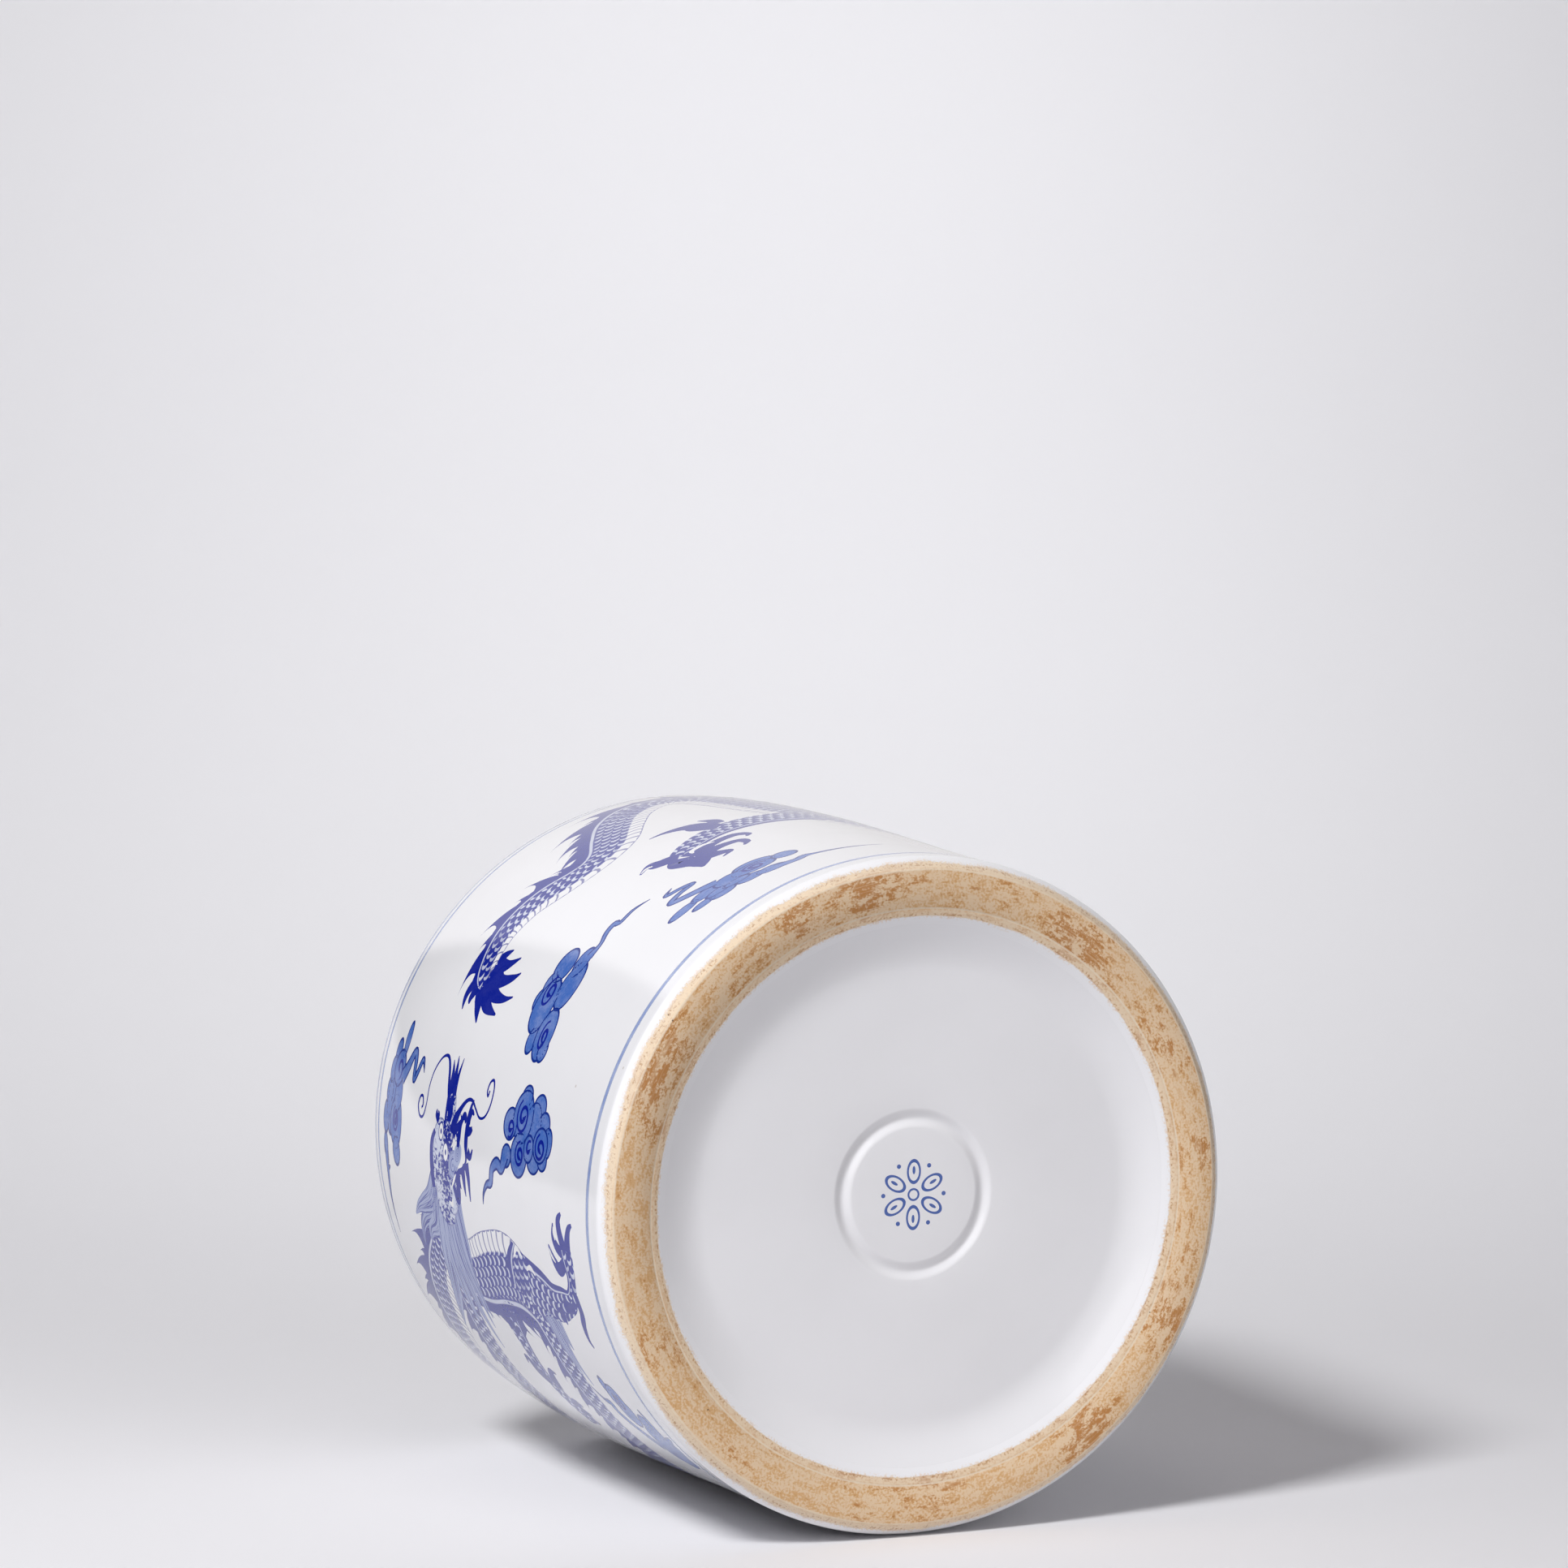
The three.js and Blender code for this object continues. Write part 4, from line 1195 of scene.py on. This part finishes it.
def dragon_piece(name, sizes, looks, finishes):
    film = looks.film
    finned = [(0, BACK_COIL), (1.2, RISING_COIL), (3, MAIN_BODY)]
    coils = [*finned, (2.4, FAR_LEG), (4.2, HIND_LEG), (4.6, NEAR_LEG), (5, SHOULDER)]
    dense = layered(2.6, TAIL_FLAMES) + layered(5.4, CLAWS) + layered(9, HEAD_STROKES + WHISKERS)
    shaggy = layered(4.4, WISPY_TUFTS)
    shaggy += [(6 + 0.1 * number, row) for number, row in enumerate(MANE)]
    strokes = (
        ("coils", coils, "scales", 8, FINE_STEP),
        ("strokes", dense, "dense", 2, STROKE_STEP),
        ("mane", shaggy, "hair", 4, FINE_STEP),
        ("light", layered(9.4, WHITE_STROKES), "white", 2, LIGHT_STEP),
    )
    ovals = (
        ("head", layered(8, HEAD_SHAPES), "mottled"),
        ("tongue", layered(8.6, TONGUE), "hair"),
        ("eyes", layered(9.6, EYES), "eye"),
    )
    parts = [
        ribbons_piece(f"{name}_{part}", rows, finishes[finish], sizes, film, across, step)
        for part, rows, finish, across, step in strokes
    ]
    parts += [
        lobes_piece(f"{name}_{part}", rows, finishes[finish], sizes, film)
        for part, rows, finish in ovals
    ]
    parts.append(fins_piece(name + "_fins", finned, finishes["dense"], sizes, film, SPINE_PITCH))
    return joined(name, parts)


# ---------------------------------------------------------------------------------------
# Rosette: petals, and what stands in and between them, as shares of its reach

PETALS = 6
OVAL_STEPS = 32
DOT_HOLE = 0.05


def rosette_ovals(reach):
    """Six petals with a dash in each and a dot between them, round a small ring."""
    pen = reach * 0.045
    petal_length, petal_width = reach * 0.33, reach * 0.2
    petal_middle, dot_middle = reach * 0.60, reach * 0.86
    ring = reach * 0.17
    ovals = [(0, 0, ring, ring, 0, 0.68)]
    for i in range(PETALS):
        angle = 2 * math.pi * i / PETALS
        between = angle + math.pi / PETALS
        x, y = petal_middle * math.cos(angle), petal_middle * math.sin(angle)
        u, v = dot_middle * math.cos(between), dot_middle * math.sin(between)
        ovals.append((x, y, petal_length, petal_width, angle, 1 - 2 * pen / petal_length))
        ovals.append((u, v, pen * 1.3, pen * 1.3, 0, DOT_HOLE))
        ovals.append((x * 1.06, y * 1.06, pen * 2.4, pen * 0.9, angle, DOT_HOLE))
    return ovals


def ovals_mesh(name, ovals, height):
    """Flat oval lines, each (x, y, half width, half height, tilt, share of it that is open)."""
    points, faces = [], []
    for x, y, wide, high, tilt, inner in ovals:
        start = len(points)
        turn = Matrix.Rotation(tilt, 2)
        for i in range(OVAL_STEPS):
            angle = 2 * math.pi * i / OVAL_STEPS
            for share in (inner, 1.0):
                u, v = turn @ Vector((wide * math.cos(angle), high * math.sin(angle))) * share
                points.append((x + u, y + v, height))
        for i in range(OVAL_STEPS):
            a, b = start + 2 * i, start + 2 * ((i + 1) % OVAL_STEPS)
            faces.append((a, b, b + 1, a + 1))
    mesh = bpy.data.meshes.new(name)
    mesh.from_pydata(points, [], faces)
    return mesh


# ---------------------------------------------------------------------------------------
# Stage: the pot lies on its belly and its foot on a paper sweep

# The way that is up on the stage, and the camera, on the pot's own axes
STAGE_UP = Vector((0.9990, 0.0, 0.0458)).normalized()
CAMERA_PLACE = Vector((165.97, -445.39, -952.13)) * MM
CAMERA_AIM = Vector((104.73, -16.32, 58.88)) * MM
CAMERA_LENS = 93.17
CAMERA_BACK = (CAMERA_PLACE - CAMERA_AIM).normalized()
STAGE_RIGHT = STAGE_UP.cross(CAMERA_BACK).normalized()
STAGE_TOWARD = STAGE_RIGHT.cross(STAGE_UP)

# Places on the stage, in metres to the right, up and towards the camera
SHEET_WIDTH = 3.2
FLOOR_FRONT = 1.2
FLOOR_END = -0.3
BEND_START = -0.5
BEND_RADIUS = 0.4
BEND_STEPS = 10
BACKDROP_TOP = 1.8
UPRIGHT_DROP = -0.05 * MM
UPRIGHT_WIDTH = 4.0
POT_MIDDLE = (0.0, 0.08, 0.0)
# Each lamp: place, aim, size, watts, tint and spread
LAMPS = {
    "key_light": ((-0.7, 1.3, 1.05), POT_MIDDLE, 0.42, 26.5, (1.0, 1.0, 1.0), math.pi),
    "front_light": ((1.0, 0.5, 1.45), POT_MIDDLE, 0.6, 4.0, (1.0, 0.975, 0.97), math.pi),
    "top_light": ((0.0, 1.6, 0.6), POT_MIDDLE, 0.8, 1.8, (1.0, 0.90, 0.88), math.pi),
    "backdrop_light": ((0.0, 0.95, -0.1), (0.05, 0.45, -0.7), 0.4, 0.78, (0.98, 0.985, 1.0), 1.5),
}


def placed(axes, origin):
    """A matrix whose columns are three axes and an origin."""
    matrix = Matrix(axes).transposed().to_4x4()
    matrix.translation = origin
    return matrix


def lying_stage(sizes):
    """Axes of the stage, with the wall's lowest point at height 0: right, up, towards the camera."""
    heights = [i / 40 * POT_HEIGHT for i in range(41)]
    clay = [(wall_radius(sizes, height), height) for height in heights if height >= FOOT_HEIGHT]
    touch = min(STAGE_UP.z * height - STAGE_UP.x * radius for radius, height in clay)
    middle = Vector((0, 0, POT_HEIGHT / 2))
    origin = middle + STAGE_UP * (touch - middle.dot(STAGE_UP))
    return placed((STAGE_RIGHT, STAGE_UP, STAGE_TOWARD), origin)


def one_sided(shader):
    """Hides the back of a sheet, so that the stage never stands in front of another view."""
    surface = shader.bsdf.outputs[0]
    clear = shader.tree.nodes.new("ShaderNodeBsdfTransparent").outputs[0]
    mix = shader.tree.nodes.new("ShaderNodeMixShader")
    back = shader.tree.nodes.new("ShaderNodeNewGeometry").outputs["Backfacing"]
    shader.tree.links.new(back, mix.inputs[0])
    shader.tree.links.new(surface, mix.inputs[1])
    shader.tree.links.new(clear, mix.inputs[2])
    shader.tree.links.new(mix.outputs[0], shader.tree.nodes["Material Output"].inputs[0])
    return shader.material


def paper(name, tone):
    shader = Shader(name, 0.85)
    fibre = shader.noise(shader.place(), 60.0, 3.0)
    shader.paint("Base Color", shader.blend(fibre * 0.3, tone, darker(tone, 0.015)))
    return one_sided(shader)


def sheet_object(name, outline, width, stage, finish):
    """A sheet swept sideways along a line of (y, z) points of the stage."""
    points, faces = [], []
    for y, z in outline:
        points += [stage @ Vector((side * width / 2, y, z)) for side in (-1, 1)]
    for i in range(len(outline) - 1):
        faces.append((2 * i, 2 * i + 1, 2 * i + 3, 2 * i + 2))
    mesh = bpy.data.meshes.new(name)
    mesh.from_pydata(points, [], faces)
    mesh.shade_smooth()
    mesh.materials.append(finish)
    made = add_object(name, mesh)
    return made


def soft_light(name, stage, place, aim, size, power, tint, spread):
    light = bpy.data.lights.new(name, "AREA")
    light.shape = "DISK"
    light.size = size
    light.energy = power
    light.color = tint
    light.spread = spread
    lamp = add_object(name, light)
    start, end = stage @ Vector(place), stage @ Vector(aim)
    lamp.location = start
    lamp.rotation_euler = (end - start).to_track_quat("-Z", "Y").to_euler()
    lamp.visible_glossy = False


def add_camera():
    camera = bpy.data.cameras.new("camera")
    camera.sensor_width = 36
    camera.lens = CAMERA_LENS
    eye = add_object("camera", camera)
    axes = (STAGE_RIGHT, CAMERA_BACK.cross(STAGE_RIGHT), CAMERA_BACK)
    eye.matrix_world = placed(axes, CAMERA_PLACE)
    bpy.context.scene.camera = eye


# Surroundings: the strength of what the glaze mirrors, of a lamp in it, and of the rest
REFLECTED = 0.95
LAMP_SHINE = 1.1
AMBIENT = 0.06
STUDIO_TINT = (1.0, 0.975, 0.985)
# The dark gap's lowest and highest edge, and how fast it closes behind the pot
GAP_LOW = -0.09
GAP_HIGH = 0.45
GAP_LEAN = 1.55
LEAN_START = 0.68
BEHIND = STAGE_TOWARD * -1
GAP_WAY = (STAGE_RIGHT * -0.68 + BEHIND * 0.73).normalized()
LAMP_WAY = (STAGE_RIGHT * 0.06 + STAGE_UP * 0.30 - BEHIND * 0.95).normalized()


def surroundings():
    """Pale studio walls with one darker gap to the left, behind the pot, and a lamp in front."""
    world = bpy.data.worlds.new("studio")
    bpy.context.scene.world = world
    world.use_nodes = True
    tree = Tree(world.node_tree)
    ray = tree.node("ShaderNodeTexCoord")

    def facing(axis):
        return tree.node("ShaderNodeVectorMath", {"operation": "DOT_PRODUCT"}, ray, axis).part("Value")

    def ramp(value, low, high, start=0.0, end=1.0):
        smooth = {"interpolation_type": "SMOOTHSTEP"}
        return tree.node("ShaderNodeMapRange", smooth, value, low, high, start, end)

    up = facing(STAGE_UP)
    # The gap gets lower and narrower the further it lies behind the pot.
    lean = (facing(BEHIND) - LEAN_START).math("MAXIMUM", 0.0) * GAP_LEAN
    above = ramp(up - lean, GAP_LOW - 0.03, GAP_LOW + 0.02)
    below = ramp(up + lean, GAP_HIGH - 0.02, GAP_HIGH + 0.04, 1.0, 0.0)
    gap = ramp(facing(GAP_WAY), 0.80, 0.86) * above * below
    lamp = ramp(facing(LAMP_WAY), 0.945, 0.98) * LAMP_SHINE
    mirrored = ramp(up, -0.35, 0.5, 0.62, 1.0) * (1 - gap * 0.98) * REFLECTED + lamp
    dome = ramp(up, 0.0, 0.8, 0.12, 1.0) * AMBIENT
    glossy = tree.node("ShaderNodeLightPath").part("Is Glossy Ray")
    shine = world.node_tree.nodes["Background"]
    tree.feed(shine.inputs["Color"], STUDIO_TINT)
    tree.feed(shine.inputs["Strength"], mirrored * glossy + dome * (1 - glossy))


# ---------------------------------------------------------------------------------------
# Operators


def settings():
    scene = bpy.context.scene
    return scene.brush_pot_body, scene.brush_pot_decoration, scene.brush_pot_colours


class BRUSHPOT_OT_body(bpy.types.Operator):
    """Turn the glazed wall and the recessed base"""

    bl_idname = "brush_pot.body"
    bl_label = "Wall and base"

    def execute(self, context):
        sizes, _, colours = settings()
        finish = white_porcelain(colours)
        wall = turned_piece("porcelain_wall", wall_outline(sizes), finish, sizes, True)
        base = turned_piece("porcelain_base", base_outline(sizes), finish, sizes, False)
        put(wall, "white_glaze", "pot_wall")
        put(base, "white_glaze", "base_slab")
        return {"FINISHED"}


class BRUSHPOT_OT_foot(bpy.types.Operator):
    """Turn the unglazed foot ring"""

    bl_idname = "brush_pot.foot"
    bl_label = "Foot ring"

    def execute(self, context):
        sizes, _, colours = settings()
        foot = turned_piece("clay_foot", foot_outline(sizes), bare_clay(colours, sizes), sizes, True)
        put(foot, "bare_clay", "foot_ring")
        return {"FINISHED"}


class BRUSHPOT_OT_bands(bpy.types.Operator):
    """Brush the three lines round the pot"""

    bl_idname = "brush_pot.bands"
    bl_label = "Brushed bands"

    def execute(self, context):
        sizes, looks, colours = settings()
        wide, fine = looks.foot_band_width, looks.mouth_band_width
        rows = (
            ("foot_band", "foot_line", wide, 0.8),
            ("mouth_band_lower", "mouth_line_lower", fine, 0.75),
            ("mouth_band_upper", "mouth_line_upper", fine * 0.8, 0.6),
        )
        rise = film_height(looks.film, 0, 0)
        for node, name, width, strength in rows:
            middle = middle_height(node)
            heights = [middle + width * (i / 4 - 0.5) * 1.5 for i in range(5)]
            outline = [(wall_radius(sizes, height) + rise, height) for height in heights]
            finish = brushed_line(name, colours, middle, width, strength)
            band = turned_piece(name, outline, finish, sizes, False)
            put(band, "cobalt_line", node)
        return {"FINISHED"}


class BRUSHPOT_OT_dragons(bpy.types.Operator):
    """Print the dragon on each half of the wall"""

    bl_idname = "brush_pot.dragons"
    bl_label = "Dragons"

    def execute(self, context):
        sizes, looks, colours = settings()
        finishes = print_finishes(colours, looks)
        first = dragon_piece("dragon_print_1", sizes, looks, finishes)
        second = repeated(first, "dragon_print_2", 180)
        put(first, "cobalt_print", "dragon_transfer_1")
        put(second, "cobalt_print", "dragon_transfer_2")
        return {"FINISHED"}


class BRUSHPOT_OT_clouds(bpy.types.Operator):
    """Print the five clouds on each half of the wall"""

    bl_idname = "brush_pot.clouds"
    bl_label = "Clouds"

    def execute(self, context):
        sizes, looks, colours = settings()
        finishes = print_finishes(colours, looks)
        for name, cloud in CLOUDS.items():
            first = cloud_piece(f"{name}_cloud_1", cloud, sizes, looks, finishes)
            second = repeated(first, f"{name}_cloud_2", 180)
            put(first, "cobalt_wash", f"{name}_cloud_transfer_1")
            put(second, "cobalt_wash", f"{name}_cloud_transfer_2")
        return {"FINISHED"}


class BRUSHPOT_OT_rosette(bpy.types.Operator):
    """Print a plain rosette under the base, inside the roundel"""

    bl_idname = "brush_pot.rosette"
    bl_label = "Rosette"

    def execute(self, context):
        _, looks, colours = settings()
        height = RECESS_DEPTH - looks.film * 2
        mesh = ovals_mesh("rosette", rosette_ovals(ORNAMENT_REACH), height)
        mesh.materials.append(print_finishes(colours, looks)["brushed"])
        put(add_object("rosette", mesh), "cobalt_line", "roundel_ornament")
        return {"FINISHED"}


class BRUSHPOT_OT_stage(bpy.types.Operator):
    """Lay the paper sweep, the lights and the camera"""

    bl_idname = "brush_pot.stage"
    bl_label = "Stage"

    def execute(self, context):
        sizes, _, colours = settings()
        context.scene.view_settings.view_transform = "Standard"
        stage = lying_stage(sizes)
        turns = [math.radians(90) * (i + 1) / BEND_STEPS for i in range(BEND_STEPS)]
        floor = [(0.0, FLOOR_FRONT), (0.0, FLOOR_END)]
        sweep = [(0.0, FLOOR_END), (0.0, BEND_START)]
        sweep += [
            (BEND_RADIUS * (1 - math.cos(turn)), BEND_START - BEND_RADIUS * math.sin(turn))
            for turn in turns
        ]
        sweep += [(BACKDROP_TOP, BEND_START - BEND_RADIUS)]
        sheet_object("paper_floor", floor, SHEET_WIDTH, stage, paper("paper", colours.floor))
        finish = paper("backdrop_paper", colours.floor)
        backdrop = sheet_object("paper_backdrop", sweep, SHEET_WIDTH, stage, finish)
        backdrop.visible_glossy = False
        self.upright_floor(paper("upright_paper", colours.floor))
        for name, lamp in LAMPS.items():
            soft_light(name, stage, *lamp)
        surroundings()
        add_camera()
        return {"FINISHED"}

    def upright_floor(self, finish):
        """A sheet under the standing foot, which only the camera sees."""
        level = Matrix.Rotation(math.radians(90), 4, "X")
        outline = [(UPRIGHT_DROP, UPRIGHT_WIDTH / 2), (UPRIGHT_DROP, -UPRIGHT_WIDTH / 2)]
        sheet = sheet_object("upright_floor", outline, UPRIGHT_WIDTH, level, finish)
        sheet.visible_diffuse = sheet.visible_glossy = sheet.visible_shadow = False


class BRUSHPOT_PT_panel(bpy.types.Panel):
    """Lists the parts of the brush pot"""

    bl_label = "Brush Pot"
    bl_idname = "BRUSHPOT_PT_panel"
    bl_space_type = "VIEW_3D"
    bl_region_type = "UI"
    bl_category = "Brush Pot"

    def draw(self, context):
        column = self.layout.column()
        for operator in OPERATORS:
            column.operator(operator.bl_idname)


SETTINGS = (PotBodySettings, DecorationSettings, ColourSettings)
OPERATORS = (
    BRUSHPOT_OT_body,
    BRUSHPOT_OT_foot,
    BRUSHPOT_OT_bands,
    BRUSHPOT_OT_dragons,
    BRUSHPOT_OT_clouds,
    BRUSHPOT_OT_rosette,
    BRUSHPOT_OT_stage,
)


def register():
    for cls in (*SETTINGS, *OPERATORS, BRUSHPOT_PT_panel):
        bpy.utils.register_class(cls)
    bpy.types.Scene.brush_pot_body = PointerProperty(type=PotBodySettings)
    bpy.types.Scene.brush_pot_decoration = PointerProperty(type=DecorationSettings)
    bpy.types.Scene.brush_pot_colours = PointerProperty(type=ColourSettings)


def unregister():
    del bpy.types.Scene.brush_pot_colours
    del bpy.types.Scene.brush_pot_decoration
    del bpy.types.Scene.brush_pot_body
    for cls in (BRUSHPOT_PT_panel, *reversed(OPERATORS), *reversed(SETTINGS)):
        bpy.utils.unregister_class(cls)


def main():
    register()
    bpy.ops.brush_pot.body()
    bpy.ops.brush_pot.foot()
    bpy.ops.brush_pot.bands()
    bpy.ops.brush_pot.dragons()
    bpy.ops.brush_pot.clouds()
    bpy.ops.brush_pot.rosette()
    bpy.ops.brush_pot.stage()


if __name__ == "__main__":
    main()
